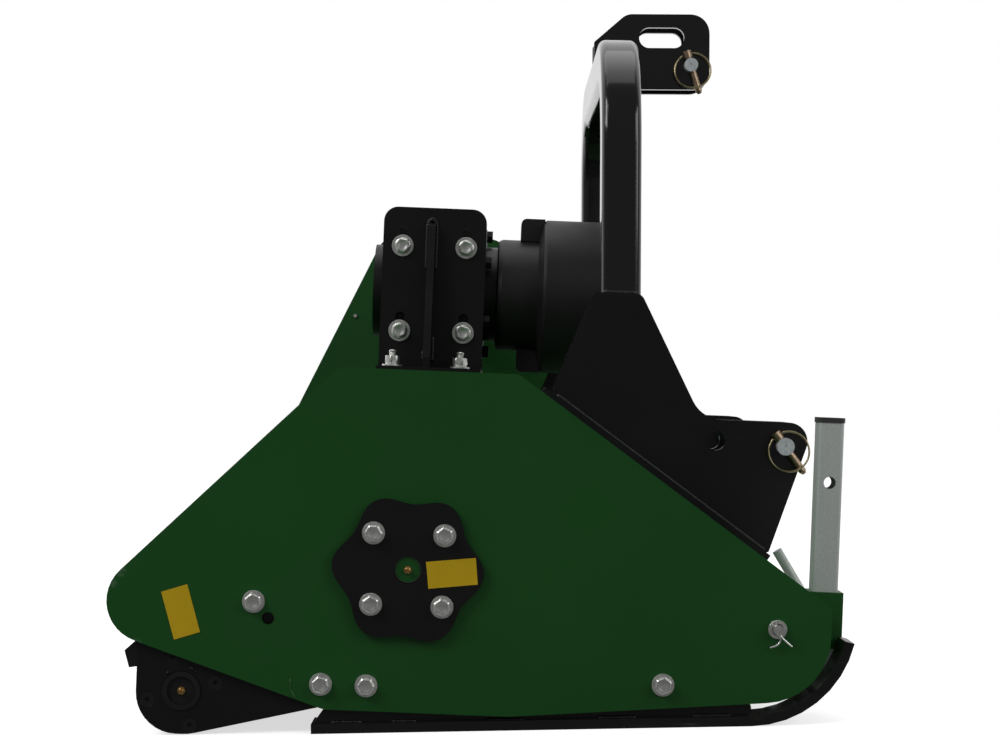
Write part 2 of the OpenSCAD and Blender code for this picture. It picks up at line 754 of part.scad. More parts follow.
// Cover plate with sunk screws
rear_end = housing_rear - 13;
sunk = 5;
module gearbox_rear_cover() {
    machine() color(black) difference() {
        rod_y(rear_end, housing_rear, rear_cover_r, 0, shaft_h);
        for (a = [45:90:315]) {
            x = rear_screw_r * cos(a);
            z = shaft_h + rear_screw_r * sin(a);
            rod_y(rear_end - 1, housing_rear + 1, rear_screw_t + bolt_fit, x, z);
            rod_y(rear_end - 1, rear_end + sunk, 6.6, x, z);
        }
    }
}
neck_r = 67;
neck_front = 88;
module gearbox_front_neck() {
    machine() color(black) difference() {
        union() {
            rod_y(flange_front, neck_front, neck_r, 0, shaft_h);
            rod_y(neck_front, neck_front + 14, 44, 0, shaft_h);
        }
        rod_y(flange_front - 1, flange_front + 12, 36, 0, shaft_h);
        rod_y(flange_front, neck_front + 15, pto_r + 0.3, 0, shaft_h);
    }
}
module ring_x(x0, x1, r0, r1, at) {
    difference() {
        rod(x0, x1, r1, at);
        rod(min(x0, x1) - 1, max(x0, x1) + 1, r0, at);
    }
}
module gearbox_bearings() {
    machine() color(steel) {
        for (seat = [[-bracket_x + tube_seat, bearing_r], [-side_x + 12, tube_bore]])
            ring_x(seat[0], seat[0] + bearing_w, cross_r + run_fit, seat[1], [0, shaft_h]);
        for (seat = [[flange_front - 8, 20, 36], [40, bearing_w, cavity_r]])
            translate([0, seat[0], shaft_h]) rotate([-90, 0, 0]) difference() {
                cylinder(h = seat[1], r = seat[2]);
                translate([0, 0, -1]) cylinder(h = seat[1] + 2, r = pto_r + run_fit);
            }
    }
}
module gearbox_screws() {
    machine() color(black) {
        for (a = [30:60:330])
            translate([flange_screw_r * cos(a), flange_front, shaft_h + flange_screw_r * sin(a)])
                rotate([-90, 0, 0]) screw(11, 5, 16, 8);
        for (a = [45:90:315])
            translate([rear_screw_r * cos(a), rear_end + sunk, shaft_h + rear_screw_r * sin(a)])
                rotate([90, 0, 0]) screw(housing_rear - rear_end - sunk + 9, rear_screw_t, 10.4, sunk - 0.5);
        for (a = [45:90:315])
            translate([-inner_x + tube_flange_t, tube_bolt_r * cos(a), shaft_h + tube_bolt_r * sin(a)])
                rotate([0, 90, 0]) screw(tube_flange_t + side_t, 4, 13, 5.5);
        translate([20, 0, shaft_h + boss_half]) {
            cylinder(h = 5, r = 13);
            translate([0, 0, 5]) hex(9, 22);
        }
    }
}
// Tube round the cross shaft, from the gearbox to the left side plate
tube_r = 38;
tube_bore = 32;
tube_bolt_r = 50;
tube_flange_t = 12;
module shaft_tube() {
    machine() color(black) difference() {
        union() {
            rod(-side_x, -bracket_x + tube_seat, tube_r, [0, shaft_h]);
            rod(-inner_x, -inner_x + tube_flange_t, 62, [0, shaft_h]);
        }
        rod(-side_x - 1, -bracket_x + tube_seat + 1, tube_bore, [0, shaft_h]);
        for (a = [45:90:315]) {
            p = [0, shaft_h] + tube_bolt_r * [cos(a), sin(a)];
            rod(-inner_x - 1, -inner_x + tube_flange_t + 1, 4.5, p);
        }
    }
}

// Input guard: a plastic bell with a narrow neck, open to the front
guard_t = 4;
neck_y0 = neck_front + 0.2;
module pto_guard() {
    machine() color(plastic) {
        difference() {
            translate([0, 0, shaft_h]) rotate([-90, 0, 0]) rotate_extrude()
                polygon([
                    [46, neck_y0], [guard_neck_r - 7, neck_y0], [guard_neck_r - 2, neck_y0 + 2],
                    [guard_neck_r, neck_y0 + 7],
                    [guard_neck_r, 146], [guard_bell_r - 3, 153], [guard_bell_r, 157],
                    [guard_bell_r, guard_front],
                    [guard_bell_r - guard_t, guard_front], [guard_bell_r - guard_t, 160],
                    [guard_neck_r - guard_t, 150], [guard_neck_r - guard_t, neck_y0 + 8],
                    [guard_neck_r - 8, neck_y0 + guard_t], [46, neck_y0 + guard_t]
                ]);
            for (a = [0:90:270])
                rod_y(neck_y0 - 1, neck_y0 + guard_t + 1, 4.5, 56 * cos(a), shaft_h + 56 * sin(a));
        }
        difference() {
            for (s = [-1, 1]) translate([0, 0, shaft_h]) mirror([0, 0, s > 0 ? 0 : 1])
                slab(-22, 22, [[120, guard_neck_r - 2, 0], [120, guard_bell_r, 8], [154, guard_bell_r, 0],
                    [154, guard_neck_r - 2, 0]]);
            rod_y(119, 155, guard_neck_r - 1, 0, shaft_h);
        }
    }
}

// Shafts and gears: the crown gear sits on the input shaft, the pinion on the cross shaft
crown_r = crown_teeth * gear_module / 2;
pinion_r = pinion_teeth * gear_module / 2;
cone_len = norm([crown_r, pinion_r]);
face_w = 16;
addendum = 0.7 * gear_module;
dedendum = 0.95 * gear_module;
// Bevel gear with its apex at the origin and its axis on +Z
module bevel(teeth, r, h, back, bore, phase) {
    tip = atan2(r, h);
    inner = 1 - face_w / cone_len;
    root_in = [r * inner - dedendum * cos(tip), h * inner + dedendum * sin(tip)];
    root_out = [r - dedendum * cos(tip), h + dedendum * sin(tip)];
    difference() {
        union() {
            rotate_extrude()
                polygon([[0, h * inner], root_in, root_out, [root_out[0], h + back], [0, h + back]]);
            for (i = [0:teeth - 1]) rotate([0, 0, (i + phase) * 360 / teeth]) rotate([0, tip, 0])
                translate([0, 0, cone_len - face_w]) linear_extrude(face_w)
                    polygon([[addendum, -tooth_tip], [addendum, tooth_tip], [-dedendum - 0.6, tooth_root],
                        [-dedendum - 0.6, -tooth_root]]);
        }
        translate([0, 0, -1]) cylinder(h = h + back + 2, r = bore);
    }
}
tooth_tip = 0.9;
tooth_root = 2;
crown_back = 12;
pinion_back = 8;
spigot_r = 10;
mesh_phase = (90 * pinion_teeth / 360 + 0.5) % 1;
module crown_gear() {
    machine() color(steel) translate([0, 0, shaft_h]) rotate([-90, 0, 0])
        bevel(crown_teeth, crown_r, pinion_r, crown_back, pto_r, 0);
}
module bevel_pinion() {
    machine() color(steel) translate([0, 0, shaft_h]) rotate([0, -90, 0])
        bevel(pinion_teeth, pinion_r, crown_r, pinion_back, spigot_r, mesh_phase);
}
pulley_x0 = side_x + 22;
pulley_w = belt_count * belt_pitch + 4;
shaft_end_x = pulley_x0 + pulley_w + 7;
module cross_shaft() {
    machine() color(steel) {
        rod(-crown_r + 14, -crown_r - pinion_back, spigot_r, [0, shaft_h]);
        rod(-crown_r - pinion_back, -shaft_end_x, cross_r, [0, shaft_h]);
    }
}
spline_len = 76;
pto_end = 238;
module pto_shaft() {
    machine() color(steel) difference() {
        rod_y(10, pto_end, pto_r, 0, shaft_h);
        for (a = [0:60:300])
            translate([0, pto_end - spline_len, shaft_h]) rotate([0, a, 0])
                translate([-4.4, 0, pto_r - 2.8]) cube([8.8, spline_len + 1, 4]);
        translate([0, pto_end - 22, shaft_h]) rotate([-90, 0, 0]) rotate_extrude()
            translate([pto_r + 1.4, 0]) circle(r = 4);
        difference() {
            rod_y(pto_end - 2, pto_end + 1, pto_r + 2, 0, shaft_h);
            translate([0, pto_end - 2 - eps, shaft_h]) rotate([-90, 0, 0])
                cylinder(h = 2.1, r1 = pto_r, r2 = pto_r - 2);
        }
    }
}

// Pulleys: one groove a belt
groove_fit = 0.75;
belt_taper = 19;
belt_base_w = belt_w - 2 * belt_h * tan(belt_taper);
belt_rise = 2.6;
module pulley(r, bore) {
    rim = r + 3;
    deep = rim - belt_h - 1;
    mouth = belt_w / 2 + groove_fit;
    floor_w = mouth - (rim + 1 - deep) * tan(belt_taper);
    rotate([0, 90, 0]) difference() {
        rotate_extrude() polygon([[bore, 0], [rim, 0], [rim, pulley_w], [bore, pulley_w]]);
        for (i = [0:belt_count - 1]) rotate_extrude() translate([0, pulley_w / 2 + belt_off(i)])
            polygon([[deep, -floor_w], [rim + 1, -mouth], [rim + 1, mouth], [deep, floor_w]]);
        for (a = [0:60:300]) rotate([0, 0, a]) translate([r * 0.58, 0, -1])
            cylinder(h = pulley_w + 2, r = r * 0.14);
    }
}
function belt_off(i) = (i - (belt_count - 1) / 2) * belt_pitch;
module rotor_pulley() {
    rotor_frame() color(steel) translate([-pulley_x0 - pulley_w, 0, 0]) pulley(rotor_pulley_r, stub_r);
}
module drive_pulley() {
    machine() color(steel) translate([-pulley_x0 - pulley_w, 0, shaft_h]) pulley(drive_pulley_r, cross_r);
}
// Each belt is a wedge section that runs round both pulleys
belt_lift = asin((drive_pulley_r - rotor_pulley_r) / shaft_h);
module belt_section() {
    polygon([
        [belt_rise, -belt_w / 2], [belt_rise, belt_w / 2],
        [belt_rise - belt_h, belt_base_w / 2], [belt_rise - belt_h, -belt_base_w / 2]
    ]);
}
module belt() {
    upper_turn = 180 + 2 * belt_lift;
    run = shaft_h * cos(belt_lift);
    // Local X, Y are the machine's Y, Z and local Z is X
    translate([0, shaft_h]) rotate([0, 0, -belt_lift]) rotate_extrude(angle = upper_turn)
        translate([drive_pulley_r, 0]) belt_section();
    rotate([0, 0, 180 + belt_lift]) rotate_extrude(angle = 360 - upper_turn)
        translate([rotor_pulley_r, 0]) belt_section();
    for (s = [0, 1]) mirror([s, 0, 0]) rotate([0, 0, -belt_lift]) translate([rotor_pulley_r, 0, 0])
        rotate([-90, 0, 0]) linear_extrude(run) mirror([0, 1]) belt_section();
}
module drive_belts() {
    machine() color(rubber) for (i = [0:belt_count - 1])
        translate([-pulley_x0 - pulley_w / 2 + belt_off(i), 0, 0]) rotate([90, 0, 90]) belt();
}

// Belt cover: a dished sheet with a flange, screwed to the left side plate
cover_t = 3;
cover_margin = 10;
cover_flange = 16;
cover_low = 112;
cover_corners = [
    [tower_rear_at(tower_h - 9) + cover_margin, tower_h - 9, 36],
    [tower_front_at(tower_h - 9) - cover_margin, tower_h - 9, 36],
    [tower_front_at(0.46 * tower_h) - cover_margin, 0.46 * tower_h, 40],
    [118, -cover_low, 95], [-118, -cover_low, 95],
    [tower_rear_at(0.3 * tower_h) + cover_margin, 0.3 * tower_h, 40]
];
cover_screw_at = [
    for (h = [0.41, 0.7, 0.92] * tower_h) [tower_rear_at(h) + cover_margin + 9, h],
    for (h = [0.54, 0.7, 0.92] * tower_h) [tower_front_at(h) - cover_margin - 8, h],
    [0, tower_h - 17], [0, -cover_low + 8]
];
module belt_cover() {
    machine() color(green) difference() {
        union() {
            slab(-side_x - cover_t, -side_x, cover_corners);
            slab(-side_x - cover_depth, -side_x, inset(cover_corners, cover_flange));
        }
        slab(-side_x - cover_depth + cover_t, -side_x + 1, inset(cover_corners, cover_flange + cover_t));
        for (p = cover_screw_at) rod(-side_x - cover_t - 1, -side_x + 1, 3.5, p);
    }
}
module cover_screws() {
    machine() color(zinc) {
        for (p = cover_screw_at)
            translate([-side_x - cover_t, p[0], p[1]])
                rotate([0, -90, 0]) screw(cover_t + side_t + 4, 3, 10, 4);
        for (x = rear_screw_x)
            translate([x, -rear_lip_reach, rear_screw_z])
                rotate([90, 0, 0]) screw(hood_t + rear_flap_t + 5, 4, 13, 5);
    }
}

// Rotor hubs: a six-lobed flange outside the side plate with a boss that carries the bearing inside
hub_bore_r = 45;
hub_boss_r = 44;
hub_in = 26;
bearing_out_r = 31;
lobe_mean = 81.7;
lobe_swing = 6.2;
lobe_turn = -2.5;
module hub(through) {
    difference() {
        union() {
            translate([side_x, 0, 0]) rotate([90, 0, 90]) linear_extrude(hub_flange_t) polygon([
                for (a = [0:4:356])
                    (lobe_mean + lobe_swing * cos(6 * a)) * [cos(a + lobe_turn), sin(a + lobe_turn)]
            ]);
            rod(side_x - hub_in, side_x + eps, hub_boss_r);
        }
        rod(side_x - hub_in - 1, side_x - 2, bearing_out_r);
        rod(side_x - 3, side_x + hub_flange_t + 1, through);
        for (y = [-hub_bolt, hub_bolt], z = [-hub_bolt, hub_bolt])
            rod(side_x - 1, side_x + hub_flange_t + 1, bolt_r + bolt_fit, [y, z]);
    }
}
module rotor_hub_right() {
    machine() color(black) hub(stub_r + 0.8);
}
module rotor_hub_left() {
    machine() color(black) mirror([1, 0, 0]) hub(stub_r + 0.8);
}
module rotor_bearings() {
    machine() color(steel) both_sides()
        ring_x(side_x - hub_in, side_x - 2, stub_r + run_fit, bearing_out_r, [0, 0]);
}

// Rotor
tube_end = side_x - hub_in - 6;
row_pitch = 2 * tube_end / (4 * flails_per_row);
lug_gap = 27;
lug_t = 8;
lug_r = 14;
function flail_x(row, i) = -tube_end + row_pitch * (4 * i + row + 0.5);
function row_angle(row) = 45 + 90 * row;
module rotor_tube() {
    rotor_frame() color(black) {
        ring_x(-tube_end, tube_end, rotor_r - rotor_wall, rotor_r, [0, 0]);
        for (s = [-1, 1])
            ring_x(s * tube_end, s * (tube_end - 10), stub_r + run_fit, rotor_r - rotor_wall, [0, 0]);
    }
}
// Lugs on the tube, two for each flail
module flail_lugs() {
    rotor_frame() color(black)
        for (row = [0:3], i = [0:flails_per_row - 1], s = [-1, 1])
            translate([flail_x(row, i) + s * (lug_gap + lug_t) / 2, 0, 0])
                rotate([row_angle(row), 0, 0]) lug();
}
module lug() {
    base = rotor_r - 8;
    difference() {
        slab(-lug_t / 2, lug_t / 2, [[base, -24, 0], [base, 24, 0], [flail_pivot_r + lug_r, 15, lug_r - 1],
            [flail_pivot_r + lug_r, -15, lug_r - 1]]);
        rod(-lug_t, lug_t, flail_bolt_r + 0.3, [flail_pivot_r, 0]);
        rod(-lug_t, lug_t, rotor_r + run_fit);
    }
}
module rotor_stub_shafts() {
    rotor_frame() color(steel) {
        rod(tube_end - 10, side_x + 5, stub_r);
        rod(tube_end - 22, tube_end - 10, 24);
        rod(-tube_end + 10, -shaft_end_x, stub_r);
        rod(-tube_end + 22, -tube_end + 10, 24);
    }
}
module flail_bolts() {
    half = lug_gap / 2 + lug_t;
    rotor_frame() color(zinc) for (row = [0:3], i = [0:flails_per_row - 1])
        translate([flail_x(row, i), 0, 0]) rotate([row_angle(row), 0, 0]) translate([0, flail_pivot_r, 0])
            rotate([0, 90, 0]) {
                cylinder(h = 2 * half + 8, r = flail_bolt_r, center = true);
                translate([0, 0, half]) hex(8, 24);
                translate([0, 0, -half - 8]) hex(8, 24);
            }
}
// Flails hang straight down from their bolts
flail_eye_r = 13;
flail_arm_w = 26;
module flail() {
    edge = -flail_len + 6;
    difference() {
        union() {
            rod(-flail_arm_w / 2, flail_arm_w / 2, flail_eye_r);
            translate([0, flail_t / 2, 0]) rotate([90, 0, 0]) linear_extrude(flail_t) polygon([
                [-flail_arm_w / 2, 0], [-flail_arm_w / 2, -38], [-flail_w / 2, -56], [-flail_w / 2, edge],
                [flail_w / 2, edge], [flail_w / 2, -56], [flail_arm_w / 2, -38], [flail_arm_w / 2, 0]
            ]);
            translate([-flail_w / 2, 0, 0]) rotate([90, 0, 90]) linear_extrude(flail_w) polygon([
                [-flail_t / 2, edge + eps], [flail_t / 2, edge + eps], [1, -flail_len], [-1, -flail_len]
            ]);
        }
        rod(-flail_arm_w, flail_arm_w, flail_bolt_r + run_fit);
    }
}
module flails(row) {
    a = row_angle(row);
    rotor_frame() color(steel) for (i = [0:flails_per_row - 1])
        translate([flail_x(row, i), flail_pivot_r * cos(a), flail_pivot_r * sin(a)]) flail();
}
module flails_row_1() { flails(0); }
module flails_row_2() { flails(1); }
module flails_row_3() { flails(2); }
module flails_row_4() { flails(3); }

// Skids: a sole that lies flat on the floor and a plate bolted inside the side plate
sole_out = side_x + 4;
sole_rear = sole_front - sole_len;
under_arc = arc_points([sole_front, sole_r], sole_r, -90, sole_sweep);
upper_arc = arc_points([sole_front, sole_r], sole_r - sole_t, -90 + sole_sweep, -sole_sweep);
module skid() {
    hole = [for (p = skid_holes) to_floor(p)];
    web = [
        [sole_rear + 2, sole_t, 0], [sole_rear + 14, 27, 3], [sole_rear + 32, 29, 6],
        [hole[0][0] - 18, 50, 6],
        [hole[0][0] - 16, hole[0][1] + 20, 8], [hole[0][0] + 60, hole[0][1] + 20, 30],
        [hole[0][0] + 140, 42, 60], [hole[1][0] - 110, 42, 60], [hole[1][0] - 40, hole[1][1] + 20, 30],
        [hole[1][0] + 24, hole[1][1] + 20, 10], [sole_front + 20, sole_t + 4, 10], [sole_front, sole_t, 0]
    ];
    difference() {
        union() {
            translate([sole_out - sole_w, 0, 0]) rotate([90, 0, 90]) linear_extrude(sole_w)
                polygon(concat([[sole_rear, sole_t], [sole_rear, 0]], under_arc, upper_arc));
            slab(inner_x - 8, inner_x, web);
        }
        for (p = hole) rod(inner_x - 9, inner_x + 1, bolt_r + bolt_fit, p);
    }
}
module skid_right() {
    floor_frame() color(black) skid();
}
module skid_left() {
    floor_frame() color(black) mirror([1, 0, 0]) skid();
}

// Roller, its arms, hubs and scraper
arm_gap = 0.5;
arm_out = inner_x - arm_gap;
arm_in = arm_out - arm_t;
drum_end = arm_in - 12;
bush_r = 11;
arm_rear = -309;
arm_corners = let(r = roller_at, p = arm_pivot) [
    [arm_rear, -92, 8], [arm_rear, r[1] - 50, 48], [r[0] + 10, r[1] - 50, 60], [p[0] + 29, p[1] - 20, 24],
    [p[0] + 29, p[1] + 28, 28], [p[0] - 40, p[1] + 130, 20], [p[0] - 109, p[1] + 106, 24]
];
lock_rel = arm_lock - arm_pivot;
lock_arm = norm(lock_rel);
lock_angle = atan2(lock_rel[1], lock_rel[0]);
screw_ring = 40.5;
module roller_arm() {
    difference() {
        slab(arm_in, arm_out, arm_corners);
        rod(arm_in - 1, arm_out + 1, bush_r + run_fit, arm_pivot);
        rod(arm_in - 1, arm_out + 1, 22.8, roller_at);
        // Arc slot round the pivot for the lock bolt
        for (a = [lock_angle, lock_angle - arm_travel])
            rod(arm_in - 1, arm_out + 1, bolt_r + 0.4, arm_pivot + lock_arm * [cos(a), sin(a)]);
        translate([arm_in - 1, arm_pivot[0], arm_pivot[1]]) rotate([90, 0, 90])
            rotate([0, 0, lock_angle - arm_travel]) rotate_extrude(angle = arm_travel)
                translate([lock_arm - bolt_r - 0.4, 0]) square([2 * bolt_r + 0.8, arm_t + 2]);
        for (a = [16:90:286]) {
            p = roller_at + screw_ring * [cos(a), sin(a)];
            rod(arm_in - 1, arm_out + 1, 4.3, p);
            translate([arm_out - 4.4, p[0], p[1]]) rotate([0, 90, 0]) cylinder(h = 4.5, r1 = 4.2, r2 = 8.7);
        }
    }
}
module roller_arms() {
    machine() color(black) both_sides() roller_arm();
}
module scraper_bar() {
    edge = roller_at + (roller_r + 1.5) * unit([-50, 27]);
    machine() color(black) {
        slab(-arm_out, arm_out, [
            [arm_rear - 15, -107, 1], [arm_rear - 3, -95.5, 1], [arm_rear, -99, 0], [arm_rear, -125, 0],
            [arm_rear - 9, -126.5, 1]
        ]);
        slab(-arm_in, arm_in, [
            [arm_rear - eps, -118, 0], corner(edge + [0, 5]), corner(edge), [arm_rear - eps, -125, 0]
        ]);
    }
}
module roller_bearings() {
    machine() color(black) both_sides() {
        difference() {
            union() {
                rod(arm_in - 8, arm_in, 50, roller_at);
                rod(arm_in - 1, arm_out + 2, 22.4, roller_at);
            }
            rod(arm_in - 9, arm_out - 6, axle_r + run_fit, roller_at);
            rod(arm_out - 2, arm_out + 3, 16.5, roller_at);
            for (a = [16:90:286]) rod(arm_in - 9, arm_in + 1, 3.9, roller_at + screw_ring * [cos(a), sin(a)]);
        }
        for (a = [16:90:286]) {
            p = roller_at + screw_ring * [cos(a), sin(a)];
            rod(arm_in - 7.9, arm_out - 4, 3.8, p);
            translate([arm_out - 4.3, p[0], p[1]]) rotate([0, 90, 0]) difference() {
                cylinder(h = 4.1, r1 = 4, r2 = 8.2);
                translate([0, 0, 1.8]) hex(3, 5);
            }
        }
    }
}
module roller_drum() {
    machine() color(black) {
        difference() {
            rod(-drum_end, drum_end, roller_r, roller_at);
            rod(-drum_end + 8, drum_end - 8, roller_r - roller_wall, roller_at);
        }
        both_sides() rod(drum_end - eps, arm_out - 8, axle_r, roller_at);
    }
}

// Front flaps on their rod
flap_span = 2 * (sole_out - sole_w - 2);
flap_step = flap_span / flap_count;
flap_eye_r = 11;
keeper_x = side_x + 5.6;
keeper_turn = 38;
module front_flap_rod() {
    machine() color(zinc) difference() {
        rod(-side_x - 14, side_x + 14, flap_rod_r, flap_rod_at);
        both_sides() translate([keeper_x, flap_rod_at[0], flap_rod_at[1]])
            rotate([keeper_turn, 0, 0]) cylinder(h = 4 * flap_rod_r, r = 1.6, center = true);
    }
}
module front_flaps() {
    half = flap_step / 2 - 2;
    machine() color(black) for (i = [0:flap_count - 1])
        translate([-flap_span / 2 + (i + 0.5) * flap_step, flap_rod_at[0], flap_rod_at[1]])
            rotate([pitch, 0, 0]) difference() {
                union() {
                    rod(-half, half, flap_eye_r);
                    translate([-half, -flap_t / 2, -flap_len]) cube([2 * half, flap_t, flap_len]);
                }
                rod(-half - 1, half + 1, flap_rod_r + run_fit);
            }
}
// A washer and a split pin outside each side plate
module keeper() {
    ring_x(side_x + 0.2, side_x + 3.2, flap_rod_r + 0.3, 11.1, flap_rod_at);
    translate([keeper_x, flap_rod_at[0], flap_rod_at[1]]) rotate([keeper_turn, 0, 0]) {
        translate([0, 0, -24]) cylinder(h = 32, r = 1.3);
        translate([0, 0, 10.5]) rotate([0, 90, 0]) rotate_extrude()
            translate([2.9, 0]) circle(r = 1.2, $fn = 20);
    }
}
module flap_rod_keepers() {
    machine() color(zinc) both_sides() keeper();
}

// Bolts of the side plates: hubs, roller arms and skids, with their nuts
module flange_bolts() {
    machine() color(zinc) both_sides() {
        for (y = [-hub_bolt, hub_bolt], z = [-hub_bolt, hub_bolt])
            flange_bolt(side_x + hub_flange_t, [y, z], side_t + hub_flange_t);
        for (p = skid_holes) flange_bolt(side_x, p, side_t + 8);
        flange_bolt(side_x, arm_lock, side_t + arm_gap + arm_t + arm_gap);
        flange_bolt(side_x, arm_pivot, side_t + arm_gap + arm_t + arm_gap);
        ring_x(inner_x, arm_in - arm_gap, bolt_r + 0.2, bush_r, arm_pivot);
    }
}

// Parking stand in its socket on the front lip
stand_mid_x = side_x - 85;
stand_top = 188;
socket_wall = 5;
socket_fit = 0.5;
socket_z = [-78, -12];
stand_mid_y = lip_y + socket_wall + socket_fit + stand_y / 2;
lock_at = [stand_mid_y, -46];
stand_corner = 4;
module stand_block(sx, sy, z0, z1, r = 0) {
    outline = [[-sx / 2, -sy / 2, r], [sx / 2, -sy / 2, r], [sx / 2, sy / 2, r], [-sx / 2, sy / 2, r]];
    translate([stand_mid_x, stand_mid_y, z0]) linear_extrude(z1 - z0) polygon(rounded(outline));
}
module box_tube(sx, sy, wall, z0, z1, r = 0) {
    difference() {
        stand_block(sx, sy, z0, z1, r);
        stand_block(sx - 2 * wall, sy - 2 * wall, z0 - 1, z1 + 1);
    }
}
socket_half_x = stand_x / 2 + socket_fit + socket_wall;
module stand_socket() {
    grow = 2 * (socket_fit + socket_wall);
    machine() color(green) difference() {
        box_tube(stand_x + grow, stand_y + grow, socket_wall, socket_z[0], socket_z[1]);
        rod(stand_mid_x - 60, stand_mid_x + 60, lock_pin_r + 0.1, lock_at);
    }
}
module stand_tube() {
    machine() color(zinc) difference() {
        box_tube(stand_x, stand_y, stand_wall, stand_top - stand_len, stand_top, stand_corner);
        rod(stand_mid_x - 60, stand_mid_x + 60, lock_pin_r + 0.1, lock_at);
        rod(stand_mid_x - 60, stand_mid_x + 60, lock_pin_r + 1.2, [stand_mid_y, 117]);
    }
}
module stand_cap() {
    plug = 2 * (stand_wall + 0.3);
    machine() color(plastic) {
        stand_block(stand_x + 2, stand_y + 2, stand_top, stand_top + 6, stand_corner + 1);
        stand_block(stand_x - plug, stand_y - plug, stand_top - 14, stand_top + eps);
    }
}
pin_bend_x = side_x - 150;
lock_travel = 49;
handle_len = 90;
handle_lean = 33;
module stand_locking_pin() {
    machine() color(zinc) {
        rod(pin_bend_x, stand_mid_x + socket_half_x + 2, lock_pin_r, lock_at);
        translate([pin_bend_x, lock_at[0], lock_at[1]]) {
            rotate([handle_lean, 0, 0]) cylinder(h = handle_len, r = lock_pin_r);
            sphere(r = lock_pin_r + 0.6);
        }
    }
}

side_plate_right();
side_plate_left();
hood_shell();
counter_blade();
rear_flap();
hitch_base_plates();
hitch_cheeks_right();
hitch_cheeks_left();
mast_hoop();
top_link_plates();
gearbox_base_plate();
gearbox_bracket_right();
gearbox_bracket_left();
gearbox_housing();
gearbox_rear_cover();
gearbox_front_neck();
gearbox_bearings();
gearbox_screws();
shaft_tube();
pto_guard();
belt_cover();
cover_screws();
drive_belts();
rotor_hub_right();
rotor_hub_left();
rotor_bearings();
skid_right();
skid_left();
stand_socket();
stand_tube();
stand_cap();
front_flap_rod();
flap_rod_keepers();
flange_bolts();
bracket_bolts();
hitch_pins();
linchpins();
rotor_tube();
flail_lugs();
rotor_stub_shafts();
rotor_pulley();
flail_bolts();
flails_row_1();
flails_row_2();
flails_row_3();
flails_row_4();
cross_shaft();
drive_pulley();
bevel_pinion();
pto_shaft();
crown_gear();
roller_arms();
scraper_bar();
roller_bearings();
roller_drum();
stand_locking_pin();
front_flaps();
linchpin_ring_right();
linchpin_ring_left();
linchpin_ring_top();
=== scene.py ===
import json
import math
import random

import bmesh
import bpy
from mathutils import Matrix, Vector


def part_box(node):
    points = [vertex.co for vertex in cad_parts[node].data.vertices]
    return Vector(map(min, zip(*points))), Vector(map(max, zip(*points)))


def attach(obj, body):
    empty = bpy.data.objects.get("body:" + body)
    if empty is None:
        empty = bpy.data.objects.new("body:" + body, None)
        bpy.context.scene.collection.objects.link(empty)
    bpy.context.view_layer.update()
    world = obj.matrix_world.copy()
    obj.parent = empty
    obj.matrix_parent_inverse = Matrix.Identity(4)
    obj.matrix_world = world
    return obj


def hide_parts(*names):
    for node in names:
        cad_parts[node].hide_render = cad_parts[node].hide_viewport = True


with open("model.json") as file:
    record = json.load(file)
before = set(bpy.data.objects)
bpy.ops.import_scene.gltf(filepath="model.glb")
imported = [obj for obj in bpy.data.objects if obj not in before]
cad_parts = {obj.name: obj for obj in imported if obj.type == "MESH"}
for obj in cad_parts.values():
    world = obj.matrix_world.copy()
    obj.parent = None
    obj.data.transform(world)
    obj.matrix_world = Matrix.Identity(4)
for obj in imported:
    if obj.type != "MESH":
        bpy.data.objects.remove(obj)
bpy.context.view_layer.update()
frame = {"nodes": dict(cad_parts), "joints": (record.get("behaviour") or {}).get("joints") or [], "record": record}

# Flail mulcher: finishes for the CAD nodes, fasteners, stickers and weld beads, and the photograph's view
nodes = frame["nodes"]
record = frame["record"]
joints = {j["name"]: j for j in frame["joints"]}
SEED = 7
rng = random.Random(SEED)

# Frames: the machine leans by PITCH about the rotor axis, and the mast leans back by MAST_LEAN on it
PITCH = math.radians(3.3)
MAST_LEAN = math.radians(2)
ROTOR = Vector(joints["rotor_spin"]["pos_m"])
MACHINE = Matrix.Translation(ROTOR) @ Matrix.Rotation(-PITCH, 4, "X")
MAST_FOOT = (0, 0.2475, 0.340)
MAST = MACHINE @ Matrix.Translation(MAST_FOOT) @ Matrix.Rotation(MAST_LEAN, 4, "X")

# Measures of the machine in millimetres: x across it, y to the front, z up from the rotor's axis
PLATE_X = 650
PLATE_T = 8
HUB_T = 8
BRACKET_X = 100
BASE_STUD_X = 136
BASE_TOP = 238
GEARBOX_Z = 347
CHEEKS = ((305, 315), (375, 385))
SLOPE_TOP = (119, 230)
SLOPE_END = (491, -26)
ROLLER = (-256.5, -151.0)
FLAP_ROD = (428.5, -52.0)

# Measures of the fasteners in metres
M12 = 0.006
NUT_FLATS = 0.018
NUT_HEIGHT = 0.010
WASHER_T = 0.0025


def machine(x, y, z):
    """A point of the leaned machine's frame, in millimetres, as a point of the scene in metres."""
    return MACHINE @ (Vector((x, y, z)) / 1000)


def mast(x, y, z):
    """A point of the mast's frame, in millimetres, as a point of the scene in metres."""
    return MAST @ (Vector((x, y, z)) / 1000)


# Materials; these are the mix node's sockets when it mixes colours
MIX_FACTOR, MIX_A, MIX_B, MIX_COLOUR = 0, 6, 7, 2


def value(node, name, v):
    """Sets a socket's own value."""
    node.inputs[name].default_value = v


